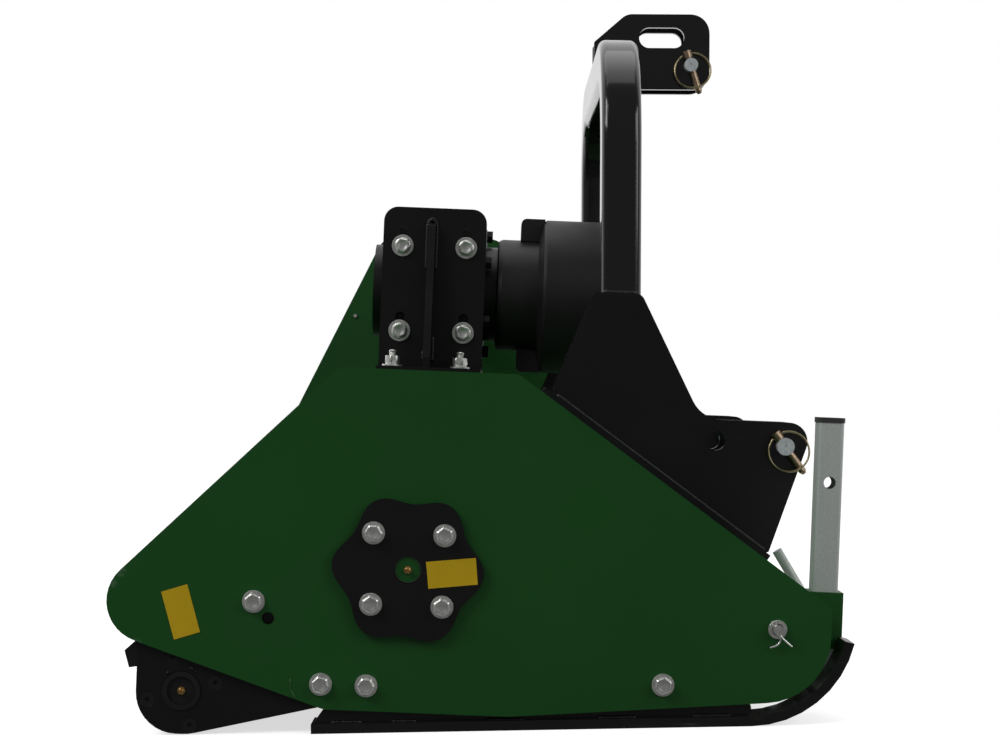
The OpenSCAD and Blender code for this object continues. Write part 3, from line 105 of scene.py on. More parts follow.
class Shader:
    """A material with one principled shader, and short helpers for its nodes."""

    def __init__(self, name, metallic=0.0, specular=0.5, coat=0.0, coat_rough=0.1):
        self.mat = bpy.data.materials.new(name)
        self.mat.use_nodes = True
        self.tree = self.mat.node_tree
        self.tree.nodes.clear()
        output = self.tree.nodes.new("ShaderNodeOutputMaterial")
        self.bsdf = self.tree.nodes.new("ShaderNodeBsdfPrincipled")
        self.link(self.bsdf.outputs[0], output.inputs[0])
        value(self.bsdf, "Metallic", metallic)
        value(self.bsdf, "Specular IOR Level", specular)
        value(self.bsdf, "Coat Weight", coat)
        value(self.bsdf, "Coat Roughness", coat_rough)
        self.coords = self.tree.nodes.new("ShaderNodeTexCoord").outputs["Object"]

    def link(self, a, b):
        self.tree.links.new(a, b)

    def stretch(self, scale):
        """Object coordinates times the scale, for a pattern drawn out along an axis."""
        node = self.tree.nodes.new("ShaderNodeMapping")
        node.inputs["Scale"].default_value = scale
        self.link(self.coords, node.inputs[0])
        return node.outputs[0]

    def noise(self, scale, detail=3.0, rough=0.5, at=None):
        node = self.tree.nodes.new("ShaderNodeTexNoise")
        value(node, "Scale", scale)
        value(node, "Detail", detail)
        value(node, "Roughness", rough)
        self.link(at or self.coords, node.inputs["Vector"])
        return node.outputs["Fac"]

    def ramp(self, fac, stops):
        """Colours along the factor; stops are (place, colour)."""
        node = self.tree.nodes.new("ShaderNodeValToRGB")
        elements = node.color_ramp.elements
        while len(elements) < len(stops):
            elements.new(0.5)
        for element, (place, colour) in zip(elements, stops):
            element.position = place
            element.color = tuple(colour) + (1.0,)
        self.link(fac, node.inputs[0])
        return node.outputs[0]

    def grey(self, fac, stops):
        """Values along the factor; stops are (place, value)."""
        return self.ramp(fac, [(p, (v, v, v)) for p, v in stops])

    def set_or_link(self, socket, v):
        """Gives a socket a number, a colour or another node's output."""
        if isinstance(v, (float, int)):
            socket.default_value = v
        elif isinstance(v, tuple):
            socket.default_value = v + (1.0,)
        else:
            self.link(v, socket)

    def mix(self, fac, a, b):
        node = self.tree.nodes.new("ShaderNodeMix")
        node.data_type = "RGBA"
        self.set_or_link(node.inputs[MIX_FACTOR], fac)
        self.set_or_link(node.inputs[MIX_A], a)
        self.set_or_link(node.inputs[MIX_B], b)
        return node.outputs[MIX_COLOUR]

    def maths(self, op, a, b):
        node = self.tree.nodes.new("ShaderNodeMath")
        node.operation = op
        self.set_or_link(node.inputs[0], a)
        self.set_or_link(node.inputs[1], b)
        return node.outputs[0]

    def near(self, points, radius):
        """1 at the points, fading to 0 at the radius from them."""
        total = 0.0
        for p in points:
            node = self.tree.nodes.new("ShaderNodeVectorMath")
            node.operation = "DISTANCE"
            self.link(self.coords, node.inputs[0])
            node.inputs[1].default_value = p
            share = self.maths("DIVIDE", node.outputs["Value"], radius)
            total = self.maths("MAXIMUM", self.grey(share, [(0.45, 1.0), (1.0, 0.0)]), total)
        return total

    def bump(self, *layers):
        """Relief of the surface; layers are (height, strength, distance in metres)."""
        last = None
        for height, strength, distance in layers:
            node = self.tree.nodes.new("ShaderNodeBump")
            value(node, "Strength", strength)
            value(node, "Distance", distance)
            self.link(height, node.inputs["Height"])
            if last is not None:
                self.link(last, node.inputs["Normal"])
            last = node.outputs[0]
        self.link(last, self.bsdf.inputs["Normal"])

    def colour(self, socket):
        self.link(socket, self.bsdf.inputs["Base Color"])

    def rough(self, socket):
        self.link(socket, self.bsdf.inputs["Roughness"])


# Paint is chipped at these places (y, z) on the tail of the right side plate; the radius is in metres
CHIPS = [(-331, -15), (-341, -29), (-325, -93.5), (-310, -97.5)]
CHIP_RADIUS = 0.0080


def green_paint(name, chips=()):
    """Powder coat, smooth with a faint orange peel, and scuffed to a lighter green at the chips."""
    s = Shader(name, specular=0.40)
    base = s.ramp(s.noise(1.7, 2), [(0.35, (0.0073, 0.0840, 0.0104)), (0.65, (0.0094, 0.0985, 0.0134))])
    paint = s.mix(s.grey(s.noise(7, 5, 0.6), [(0.55, 0.0), (0.85, 0.06)]), base, (0.070, 0.140, 0.075))
    if chips:
        ragged = s.grey(s.noise(230, 3, 0.6), [(0.42, 0.0), (0.50, 1.0)])
        torn = s.maths("MULTIPLY", s.near(chips, CHIP_RADIUS), ragged)
        paint = s.mix(torn, paint, (0.070, 0.170, 0.080))
    s.colour(paint)
    s.rough(s.grey(s.noise(11, 3, 0.5), [(0.3, 0.40), (0.7, 0.47)]))
    s.bump((s.noise(700, 2), 0.06, 0.0003), (s.noise(90, 2), 0.03, 0.0008))
    return s.mat


def black_paint(name, rough=(0.34, 0.42), coat=0.0, tone=1.0):
    """Black powder coat under a little dust; the coat makes it glossy and the tone lighter."""
    s = Shader(name, specular=0.40, coat=coat, coat_rough=0.09)
    low, high = 0.0043 * tone, 0.0065 * tone
    base = s.ramp(s.noise(2.1, 2), [(0.3, (low, low, low)), (0.7, (high, high, high))])
    s.colour(s.mix(s.grey(s.noise(9, 5, 0.65), [(0.56, 0.0), (0.85, 0.10)]), base, (0.032, 0.031, 0.029)))
    s.rough(s.grey(s.noise(13, 3, 0.5), [(0.3, rough[0]), (0.7, rough[1])]))
    s.bump((s.noise(620, 2), 0.07, 0.0003), (s.noise(55, 2), 0.04, 0.0010))
    return s.mat


def worn_black():
    """Paint of the skids and the roller, rubbed to grey steel in streaks where they slide."""
    s = Shader("worn_black", specular=0.45)
    base = s.ramp(s.noise(4, 3), [(0.3, (0.0062, 0.0062, 0.0062)), (0.7, (0.0105, 0.0104, 0.0102))])
    along = s.noise(30, 5, 0.7, at=s.stretch((0.5, 0.22, 2.6)))
    s.colour(s.mix(s.grey(along, [(0.63, 0.0), (0.74, 0.55)]), base, (0.085, 0.078, 0.068)))
    s.rough(s.grey(along, [(0.4, 0.24), (0.75, 0.50)]))
    s.bump((s.noise(420, 3), 0.10, 0.0004), (along, 0.08, 0.0008))
    return s.mat


def plated(name, light, dark, rough, grain=1.0, metallic=1.0):
    """Plated steel, finely mottled, as small forged and cut pieces are."""
    s = Shader(name, metallic=metallic)
    spots = s.grey(s.noise(160 * grain, 4, 0.6), [(0.35, 0.0), (0.7, 1.0)])
    s.colour(s.mix(spots, light, dark))
    s.rough(s.grey(s.noise(90 * grain, 4, 0.6), [(0.3, rough[0]), (0.7, rough[1])]))
    s.bump((s.noise(900, 2), 0.06, 0.0003))
    return s.mat


def galvanised():
    """Zinc from the bath: a matt grey-green skin with fine grain and faint drips along the tube."""
    s = Shader("galvanised", metallic=0.35)
    grain = s.noise(520, 3, 0.7)
    base = s.ramp(grain, [(0.35, (0.60, 0.645, 0.615)), (0.65, (0.74, 0.785, 0.750))])
    drips = s.noise(26, 4, 0.6, at=s.stretch((1, 1, 0.10)))
    s.colour(s.mix(s.grey(drips, [(0.45, 0.0), (0.75, 0.35)]), base, (0.50, 0.540, 0.510)))
    s.rough(s.grey(drips, [(0.3, 0.46), (0.7, 0.58)]))
    s.bump((grain, 0.10, 0.0003))
    return s.mat


def bare_steel():
    """Turned steel under a thin film of oil, with brown where it has begun to rust."""
    s = Shader("bare_steel", metallic=1.0)
    oil = s.noise(35, 4, 0.6)
    s.colour(s.ramp(oil, [(0.3, (0.42, 0.42, 0.43)), (0.6, (0.30, 0.29, 0.28)), (0.8, (0.22, 0.18, 0.14))]))
    s.rough(s.grey(oil, [(0.3, 0.28), (0.7, 0.48)]))
    s.bump((s.noise(40, 3, 0.5, at=s.stretch((12, 1, 1))), 0.1, 0.0005))
    return s.mat


def black_rubber():
    """Matt rubber with a coarse skin."""
    s = Shader("black_rubber", specular=0.35)
    s.colour(s.ramp(s.noise(20, 4), [(0.3, (0.012, 0.012, 0.012)), (0.75, (0.026, 0.025, 0.024))]))
    s.rough(s.grey(s.noise(40, 3), [(0.3, 0.65), (0.7, 0.85)]))
    s.bump((s.noise(350, 3), 0.22, 0.0008))
    return s.mat


def black_plastic(name, tone=1.0):
    """Moulded plastic with a fine grain; the tone makes it lighter, and on the stand cap that lighter colour is a
    painted sheen.
    """
    s = Shader(name, specular=0.45)
    low, high = 0.0080 * tone, 0.0116 * tone
    s.colour(s.ramp(s.noise(10, 2), [(0.3, (low, low, low)), (0.75, (high, high, high))]))
    s.rough(s.grey(s.noise(18, 3), [(0.3, 0.40), (0.7, 0.48)]))
    s.bump((s.noise(560, 2), 0.12, 0.0004))
    return s.mat


def sticker_yellow():
    """Yellow film, a little dusty, with a faint grain."""
    s = Shader("sticker_yellow", specular=0.4, coat=0.15, coat_rough=0.25)
    base = s.ramp(s.noise(24, 3), [(0.3, (0.72, 0.475, 0.006)), (0.7, (0.80, 0.525, 0.009))])
    s.colour(s.mix(s.grey(s.noise(140, 4, 0.6), [(0.60, 0.0), (0.80, 0.25)]), base, (0.46, 0.32, 0.02)))
    s.rough(s.grey(s.noise(60, 3), [(0.3, 0.36), (0.7, 0.48)]))
    s.bump((s.noise(110, 2), 0.06, 0.0004))
    return s.mat


def weld_paint(name, dark, light):
    """Paint over a weld, rougher than on the plates."""
    s = Shader(name)
    s.colour(s.ramp(s.noise(60, 3), [(0.3, dark), (0.7, light)]))
    s.rough(s.grey(s.noise(80, 3), [(0.3, 0.30), (0.7, 0.44)]))
    s.bump((s.noise(300, 3), 0.22, 0.0010))
    return s.mat


# Materials by name, nodes whose material has another name than their slot, and bevel widths in metres
MATS = {
    "green_paint": green_paint("green_paint"),
    "green_plate": green_paint("green_plate", [machine(PLATE_X, y, z) for y, z in CHIPS]),
    "black_paint": black_paint("black_paint"),
    "black_gloss": black_paint("black_gloss", rough=(0.15, 0.21), coat=0.9, tone=1.5),
    "cast_black": black_paint("cast_black", rough=(0.38, 0.48), tone=1.8),
    "worn_black": worn_black(),
    "zinc_plate": plated("zinc_plate", (0.90, 0.91, 0.87), (0.68, 0.69, 0.66), (0.27, 0.37), metallic=0.85),
    "blue_zinc": plated("blue_zinc", (0.80, 0.86, 0.88), (0.62, 0.67, 0.69), (0.36, 0.48), metallic=0.55),
    "link_zinc": plated("link_zinc", (0.50, 0.37, 0.25), (0.33, 0.25, 0.17), (0.30, 0.42), grain=1.5),
    "ring_zinc": plated("ring_zinc", (0.46, 0.39, 0.23), (0.32, 0.27, 0.15), (0.24, 0.36), grain=1.5),
    "brass": plated("brass", (0.66, 0.40, 0.13), (0.48, 0.27, 0.09), (0.24, 0.36)),
    "galvanised": galvanised(),
    "bare_steel": bare_steel(),
    "black_rubber": black_rubber(),
    "black_plastic": black_plastic("black_plastic"),
    # The stand cap's tone lightens its whole colour: a painted sheen in place of light reflected off the cap
    "cap_plastic_painted_sheen": black_plastic("cap_plastic_painted_sheen", tone=5.5),
    "sticker_yellow": sticker_yellow(),
    "black_weld": weld_paint("black_weld", (0.0045, 0.0045, 0.005), (0.010, 0.010, 0.010)),
    "green_weld": weld_paint("green_weld", (0.0100, 0.090, 0.0130), (0.0130, 0.105, 0.0170)),
}
SPECIAL = {
    "side_plate_right": "green_plate", "mast_hoop": "black_gloss", "hitch_pins": "blue_zinc",
    "roller_bearings": "cast_black", "stand_cap": "cap_plastic_painted_sheen", "top_link_plates": "black_gloss",
    "linchpins": "link_zinc", "linchpin_ring_right": "ring_zinc", "linchpin_ring_left": "ring_zinc",
    "linchpin_ring_top": "ring_zinc", "skid_right": "worn_black", "skid_left": "worn_black",
    "roller_drum": "worn_black", "scraper_bar": "worn_black", "counter_blade": "worn_black",
}
EDGE_WIDTH = {"green_paint": 0.0012, "black_paint": 0.0012, "galvanised": 0.0007, "black_plastic": 0.0008}
BEVEL_ANGLE = math.radians(38)
NO_BEVEL = {"gearbox_screws"}


def smooth(obj, angle=32):
    """Shades the faces smooth and keeps the edges that turn by more than the angle sharp."""
    mesh = obj.data
    mesh.polygons.foreach_set("use_smooth", [True] * len(mesh.polygons))
    mesh.set_sharp_from_angle(angle=math.radians(angle))


# The CAD nodes: a finish for each, and narrow bevels that catch the light on the slots with an edge width
slot_of = {p["node"]: p["material_slot"] for p in record["subparts"]}
for name, obj in nodes.items():
    slot = slot_of[name]
    obj.data.materials.clear()
    obj.data.materials.append(MATS[SPECIAL.get(name, slot)])
    smooth(obj)
    if slot in EDGE_WIDTH and name not in NO_BEVEL:
        bevel = obj.modifiers.new("soft_edge", "BEVEL")
        bevel.width = EDGE_WIDTH[slot]
        bevel.segments = 2
        bevel.limit_method = "ANGLE"
        bevel.angle_limit = BEVEL_ANGLE


def put_on(obj, body, mat):
    """Gives a new piece its material and the body that it rides on."""
    obj.data.materials.clear()
    obj.data.materials.append(MATS[mat])
    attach(obj, body)


def mesh_object(name, bm, angle=35):
    """Makes the built mesh a new object of the scene, with merged points and outward faces."""
    mesh = bpy.data.meshes.new(name)
    bmesh.ops.remove_doubles(bm, verts=bm.verts, dist=1e-7)
    bmesh.ops.recalc_face_normals(bm, faces=bm.faces)
    bm.to_mesh(mesh)
    bm.free()
    obj = bpy.data.objects.new(name, mesh)
    bpy.context.scene.collection.objects.link(obj)
    smooth(obj, angle)
    return obj


# Skins for turned, hexagonal and bent pieces
SIDES = 48


def skin(bm, loops, closed=False):
    """Joins loops of equal length by quads; closed joins the last to the first, or else both get a cap."""
    pairs = list(zip(loops, loops[1:]))
    if closed:
        pairs.append((loops[-1], loops[0]))
    for a, b in pairs:
        n = len(a)
        for i in range(n):
            bm.faces.new((a[i], a[(i + 1) % n], b[(i + 1) % n], b[i]))
    if not closed:
        bm.faces.new(list(reversed(loops[0])))
        bm.faces.new(loops[-1])


def ring_loft(bm, rings, m, closed=False):
    """Skins rings of (z, radii); local Z points out of the surface, and Z = 0 lies on it."""
    loops = []
    for z, radii in rings:
        step = 2 * math.pi / len(radii)
        loops.append([
            bm.verts.new(m @ Vector((r * math.cos(i * step), r * math.sin(i * step), z)))
            for i, r in enumerate(radii)
        ])
    skin(bm, loops, closed)


def round_ring(r):
    """Radii of a circle."""
    return [r] * SIDES


def hex_ring(flats, cap=None):
    """Radii of a hexagon, cut back to the cap radius where its corners reach beyond that."""
    sixth = math.pi / 3
    angles = [2 * math.pi * i / SIDES for i in range(SIDES)]
    radii = [flats / 2 / math.cos((a + sixth / 2) % sixth - sixth / 2) for a in angles]
    return [min(r, cap) for r in radii] if cap else radii


def disc(bm, m, radius, thick, edge=0.0003):
    """Disc on a surface, with small chamfers."""
    ring_loft(bm, [
        (0.0, round_ring(radius - edge)), (edge, round_ring(radius)),
        (thick - edge, round_ring(radius)), (thick, round_ring(radius - edge)),
    ], m)


def washer(bm, m, inner, outer, thick, edge=0.0003):
    """Washer with an open hole, chamfered outside."""
    ring_loft(bm, [
        (0.0, round_ring(inner)), (0.0, round_ring(outer - edge)), (edge, round_ring(outer)),
        (thick - edge, round_ring(outer)), (thick, round_ring(outer - edge)), (thick, round_ring(inner)),
    ], m, closed=True)


def flange_head(bm, m, flats=0.018, flange=0.0264, height=0.0107):
    """Head of a flange bolt: a low coned flange, chamfered flats and a dished top."""
    r = flange / 2
    face = flats - 0.0026
    ring_loft(bm, [
        (0.0, round_ring(r - 0.0004)), (0.0004, round_ring(r)), (0.0016, round_ring(r)),
        (0.0020, round_ring(r - 0.0003)), (0.0025, hex_ring(flats + 0.0004, r - 0.0006)),
        (0.0029, hex_ring(flats)), (height - 0.0012, hex_ring(flats)),
        (height, hex_ring(face, face / 2 + 0.0007)),
        (height, round_ring(face / 2 - 0.0017)), (height - 0.0003, round_ring(face / 2 - 0.0022)),
    ], m)


def nut(bm, m, base, flats=NUT_FLATS, height=NUT_HEIGHT, chamfer=0.0011):
    """Hexagon nut that stands at the height base."""
    top = base + height
    cap = flats / 2 + 0.0004
    ring_loft(bm, [
        (base, hex_ring(flats, cap)), (base + chamfer, hex_ring(flats)),
        (top - chamfer, hex_ring(flats)), (top, hex_ring(flats, cap)),
    ], m)


def stud(bm, m, start, end, r=M12, pitch=0.00175, depth=0.0006, chamfer=0.001):
    """Threaded end of a stud between two heights."""
    rings = []
    half_turns = int((end - chamfer - start) / pitch * 2)
    for k in range(half_turns):
        rings.append((start + k * pitch / 2, round_ring(r - (depth if k % 2 else 0.0))))
    rings.append((end - chamfer, round_ring(r)))
    rings.append((end, round_ring(r - chamfer)))
    ring_loft(bm, rings, m)


def shank(bm, m, start, end, r=M12):
    """Plain round length between two heights."""
    ring_loft(bm, [(start, round_ring(r)), (end, round_ring(r))], m)


def facing(point, normal, spin=0.0):
    """Matrix that puts local Z along the normal at the point."""
    turn = Vector(normal).to_track_quat("Z", "Y").to_matrix().to_4x4()
    return Matrix.Translation(point) @ turn @ Matrix.Rotation(spin, 4, "Z")


def sweep(bm, points, radii, sides=10):
    """Round wire along the points, with a cap at each end."""
    last = len(points) - 1
    across = None
    loops = []
    for i, (p, r) in enumerate(zip(points, radii)):
        ahead = (points[min(i + 1, last)] - points[max(i - 1, 0)]).normalized()
        across = across or ahead.orthogonal()
        across = (across - ahead * across.dot(ahead)).normalized()
        up = ahead.cross(across)
        angles = [2 * math.pi * k / sides for k in range(sides)]
        loops.append([bm.verts.new(p + (across * math.cos(a) + up * math.sin(a)) * r) for a in angles])
    skin(bm, loops)


def through(points, steps=8):
    """Points of a smooth cubic curve that passes the given ones."""
    path = []
    ends = [points[0]] + list(points) + [points[-1]]
    for a, b, c, d in zip(ends, ends[1:], ends[2:], ends[3:]):
        for k in range(steps):
            t = k / steps
            path.append(0.5 * (2 * b + (c - a) * t + (2 * a - 5 * b + 4 * c - d) * t ** 2
                               + (3 * b - a - 3 * c + d) * t ** 3))
    path.append(points[-1])
    return path


def weld(bm, points, radius, ripple=0.0034, step=0.0009):
    """Bead along straight lines between the points, with the ripples of a hand weld."""
    path = []
    for a, b in zip(points, points[1:]):
        count = max(1, round((b - a).length / step))
        path += [a.lerp(b, k / count) for k in range(count)]
    path.append(points[-1])
    start = rng.uniform(0, 6)
    last = len(path) - 1
    radii = []
    for i in range(last + 1):
        wave = 1 + 0.06 * math.sin(start + 2 * math.pi * i * step / ripple) + rng.uniform(-0.03, 0.03)
        taper = min(1.0, 0.35 + 0.2 * min(i, last - i))
        radii.append(radius * wave * taper)
    sweep(bm, path, radii, 8)


# Flange bolts of a side plate in millimetres: place (y, z), lift of the head, and grip up to its nut.
# They hold the hub's flange on the plate, and behind it the skid's web or the roller arm with its play.
HUB_BOLT = 41
WEB_T = 8
ARM_ROOM = 9
SKID_GRIP = PLATE_T + WEB_T
ARM_GRIP = PLATE_T + ARM_ROOM
ARM_BOLT = (-95.3, -136.1)
BOLT_SPOTS = [
    ((-HUB_BOLT, -HUB_BOLT), HUB_T, PLATE_T + HUB_T), ((-HUB_BOLT, HUB_BOLT), HUB_T, PLATE_T + HUB_T),
    ((HUB_BOLT, -HUB_BOLT), HUB_T, PLATE_T + HUB_T), ((HUB_BOLT, HUB_BOLT), HUB_T, PLATE_T + HUB_T),
    ((-42.9, -135.8), 0, SKID_GRIP), ((299.0, -121.3), 0, SKID_GRIP),
    ((-176.4, -43.9), 0, ARM_GRIP), (ARM_BOLT, 0, ARM_GRIP),
]


def side_bolts():
    """The flange bolts of both side plates; a roller arm turns on a bush round its front bolt."""
    bm = bmesh.new()
    for s in (-1, 1):
        for (y, z), lift, grip in BOLT_SPOTS:
            spin = rng.uniform(0, math.pi / 3)
            inner = machine(s * (PLATE_X + lift - grip), y, z)
            flange_head(bm, facing(machine(s * (PLATE_X + lift), y, z), (s, 0, 0), spin))
            inside = facing(inner, (-s, 0, 0), spin)
            disc(bm, inside, 0.0125, WASHER_T)
            nut(bm, inside, WASHER_T)
            stud(bm, inside, WASHER_T + NUT_HEIGHT, 0.0155)
            outward = facing(inner, (s, 0, 0))
            shank(bm, outward, 0.0, grip / 1000)
            if (y, z) == ARM_BOLT:
                shank(bm, outward, 0.0005, 0.009, r=0.011)
    obj = mesh_object("side_bolts", bm)
    put_on(obj, "frame", "zinc_plate")
    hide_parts("flange_bolts")


# Bolts of a gearbox bracket (y, z from the gearbox's axis), and studs of the base plate (y)
BRACKET_BOLTS = [(y, z) for y in (-44, 44) for z in (-59, 59)]
BASE_STUDS = (-50.5, 42.5)
SPRING_WASHER_TOP = 0.0045


def bracket_hardware():
    """Bolts on their washers on both brackets, and the studs with washers and nut at their feet."""
    bm = bmesh.new()
    up = MACHINE.to_3x3() @ Vector((0, 0, 1))
    for s in (-1, 1):
        for y, z in BRACKET_BOLTS:
            m = facing(machine(s * BRACKET_X, y, GEARBOX_Z + z), (s, 0, 0), rng.uniform(0, math.pi / 3))
            disc(bm, m, 0.015, WASHER_T)
            on_washer = m @ Matrix.Translation((0, 0, WASHER_T))
            flange_head(bm, on_washer, flats=0.0185, flange=0.0225, height=0.0085)
            shank(bm, m, -0.028, 0.0)
        for y in BASE_STUDS:
            m = facing(machine(s * BASE_STUD_X, y, BASE_TOP), up, rng.uniform(0, math.pi / 3))
            disc(bm, m, 0.014, WASHER_T)
            disc(bm, m, 0.0095, SPRING_WASHER_TOP)
            nut(bm, m, SPRING_WASHER_TOP)
            stud(bm, m, SPRING_WASHER_TOP + NUT_HEIGHT, 0.0225, r=0.005)
            shank(bm, m, -0.010, 0.001)
    obj = mesh_object("bracket_hardware", bm)
    put_on(obj, "frame", "zinc_plate")
    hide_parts("bracket_bolts")


# Split pin of the flap rod, in places (y, z) of the side plate: two legs, and an eye on two necks
PIN_X = 655.6
PIN_WIRE = 0.00105
LEG_SHIFT = 0.6
EYE = (423.6, -45.4)
EYE_R = 2.6
STRAIGHT_LEG = [(428.5, -52), (431.9, -59.2), (437.5, -64.4), (445.2, -70.7)]
CURLED_LEG = [(427.9, -52), (430.9, -59.0), (431.6, -65.1), (427.4, -70.2), (420.2, -72.9)]
NECKS = [[(425.4, -47.3), (428.9, -51.6)], [(424.8, -48.2), (427.9, -52.0)]]


def pin_wire(bm, s, places, shift=0.0, curved=False):
    """Length of the split pin's wire along the places, shifted outwards; s is the machine's side."""
    path = [machine(s * (PIN_X + shift), y, z) for y, z in places]
    if curved:
        path = through(path)
    sweep(bm, path, [PIN_WIRE] * len(path))


def rod_keepers():
    """A washer and a split pin on each end of the flap rod."""
    bm = bmesh.new()
    turns = [math.radians(-70 + 12.5 * k) for k in range(29)]
    loop = [(EYE[0] + EYE_R * math.cos(a), EYE[1] + EYE_R * math.sin(a)) for a in turns]
    for s in (-1, 1):
        face = machine(s * (PLATE_X + 0.2), *FLAP_ROD)
        washer(bm, facing(face, (s, 0, 0)), 0.0068, 0.0109, 0.0028)
        pin_wire(bm, s, STRAIGHT_LEG, LEG_SHIFT, True)
        pin_wire(bm, s, CURLED_LEG, -LEG_SHIFT, True)
        for neck in NECKS:
            pin_wire(bm, s, neck)
        pin_wire(bm, s, loop)
    obj = mesh_object("rod_keepers", bm)
    put_on(obj, "frame", "zinc_plate")
    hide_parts("flap_rod_keepers")


# Grease nipples, and the painted end of the rotor's shaft
SHAFT_END_X = 655
NIPPLE_SPIN = 0.3


def bearing_face(sunk):
    """How far out, in millimetres, a face lies that is sunk below the face of the roller's bearings."""
    return (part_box("roller_bearings")[1][0] - ROTOR.x) * 1000 - sunk


def nipple(name, point, normal, body):
    """Grease nipple: a hexagon foot, a neck and a round head."""
    bm = bmesh.new()
    ring_loft(bm, [
        (0.0, hex_ring(0.0085)), (0.0022, hex_ring(0.0085)), (0.0026, round_ring(0.0030)),
        (0.0042, round_ring(0.0024)), (0.0050, round_ring(0.0031)), (0.0062, round_ring(0.0031)),
        (0.0068, round_ring(0.0020)), (0.0070, round_ring(0.0008)),
    ], facing(point, normal, NIPPLE_SPIN))
    put_on(mesh_object(name, bm), body, "brass")


def shaft_ends():
    """Paint on the rotor shaft's right end, and the nipples of rotor and roller."""
    bm = bmesh.new()
    disc(bm, facing(machine(SHAFT_END_X, 0, 0), (1, 0, 0)), 0.0146, 0.0006)
    put_on(mesh_object("shaft_end", bm), "rotor", "green_paint")
    nipple("rotor_nipple", machine(SHAFT_END_X + 0.5, 0, 0), (1, 0, 0), "rotor")
    for side, s in (("right", 1), ("left", -1)):
        nipple("roller_nipple_" + side, machine(s * bearing_face(4), *ROLLER), (s, 0, 0), "roller_frame")


# Stickers without print, in millimetres: height of the film over its plate, and of the corner that curls up
FILM_OUT = 0.35
CURL_START = 1.72
CURL = 6.0
CELLS = 14


def sticker(name, x, corners):
    """Thin film at the distance x, with its corners (y, z) in order round it; the third one curls up."""
    bm = bmesh.new()
    a, b, c, d = [Vector(p) for p in corners]
    grid = []
    for i in range(CELLS + 1):
        row = []
        for j in range(CELLS + 1):
            u, v = i / CELLS, j / CELLS
            p = (a * (1 - u) + b * u) * (1 - v) + (d * (1 - u) + c * u) * v
            out = FILM_OUT + CURL * max(0.0, u + v - CURL_START) ** 2
            row.append(bm.verts.new(machine(x + out, p[0], p[1])))
        grid.append(row)
    for row, after in zip(grid, grid[1:]):
        for j in range(CELLS):
            bm.faces.new((row[j], after[j], after[j + 1], row[j + 1]))
    obj = mesh_object(name, bm)
    obj.data.polygons.foreach_set("use_smooth", [False] * len(obj.data.polygons))
    film = obj.modifiers.new("thickness", "SOLIDIFY")
    film.thickness = 0.0003
    film.offset = 0
    put_on(obj, "frame", "sticker_yellow")


# Weld beads. In metres: radius of a full bead, seam of a skid and its stitches (start, length).
# In millimetres: distance of a bead's middle from a face, and places.
BEAD = 0.0034
SKID_SEAM_X = 0.6424
SKID_SEAM_Z = 0.0112
STITCHES = ((0.022, 0.036), (0.092, 0.030), (0.200, 0.045), (0.330, 0.045), (0.440, 0.045))
BEAD_OUT = 0.6
HITCH_BASE_LIFT = 10.8
RIB_REAR = -10.2
RIB_FRONT = 2.2
LINK_PLATE = (22, 30)
TACKS = ((28.5, 47, 72), (26.0, 122, 136))
PLATE_SEAM = ((-130.7, -131.2), (-129.6, -145.0), (-122.9, -154.0))
SLOPE = math.atan2(SLOPE_TOP[1] - SLOPE_END[1], SLOPE_END[0] - SLOPE_TOP[0])
WELD_ANGLE = 60


def on_slope(y, lift):
    """Point (y, z) over the front slope of the housing."""
    z = SLOPE_TOP[1] - (y - SLOPE_TOP[0]) * math.tan(SLOPE)
    return y + lift * math.sin(SLOPE), z + lift * math.cos(SLOPE)


def bracket_welds(bm, s, start):
    """Beads on both sides of a bracket's rib: round its top from the height start, and at its foot."""
    x = s * (BRACKET_X + 0.8)
    top = [(RIB_REAR, start), (RIB_REAR, 434), (RIB_REAR + 2, 441.5), (-4, 444),
           (RIB_FRONT - 2, 441.5), (RIB_FRONT, 434), (RIB_FRONT, start)]
    weld(bm, [machine(x, y, z) for y, z in top], BEAD)
    weld(bm, [machine(x, RIB_FRONT, z) for z in (246, 282)], BEAD)
    weld(bm, [machine(x, RIB_REAR, z) for z in (246, 262)], 0.0028)


def hitch_welds(bm, s):
    """Beads of one clevis: its cheeks on the base plate, and the hoop's leg on its cheeks."""
    ends = [on_slope(y, HITCH_BASE_LIFT) for y in (164, 436)]
    for inner, outer in CHEEKS:
        for x in (inner - BEAD_OUT, outer + BEAD_OUT):
            weld(bm, [machine(s * x, y, z) for y, z in ends], 0.0032)
    for x in (CHEEKS[0][1] - BEAD_OUT, CHEEKS[1][0] + BEAD_OUT):
        weld(bm, [machine(s * x, y, 340.6) for y in (224, 268)], BEAD)


def mast_welds(bm):
    """Beads between the top link plates and the hoop."""
    inner, outer = LINK_PLATE
    for x in (-outer - BEAD_OUT, -inner + BEAD_OUT, inner - BEAD_OUT, outer + BEAD_OUT):
        weld(bm, [mast(x, y, 343.6) for y in (-18, 24)], BEAD)
        weld(bm, [mast(x, 26.1, z) for z in (340, 308)], BEAD)


def skid_welds(bm, side, s):
    """Stitch welds between a skid's web and its sole."""
    rear_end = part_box("skid_" + side)[0][1]
    x = ROTOR.x + s * SKID_SEAM_X
    for start, length in STITCHES:
        y = rear_end + start
        weld(bm, [Vector((x, y, SKID_SEAM_Z)), Vector((x, y + length, SKID_SEAM_Z))], 0.0026)


def roller_welds(bm, s):
    """Tacks round the bearing of a roller arm: radius, and first and last angle in degrees."""
    x = s * bearing_face(1.9)
    for radius, first, last in TACKS:
        arc = [math.radians(first + (last - first) * k / 6) for k in range(7)]
        weld(bm, [machine(x, ROLLER[0] + radius * math.cos(a), ROLLER[1] + radius * math.sin(a))
                  for a in arc], 0.0020)


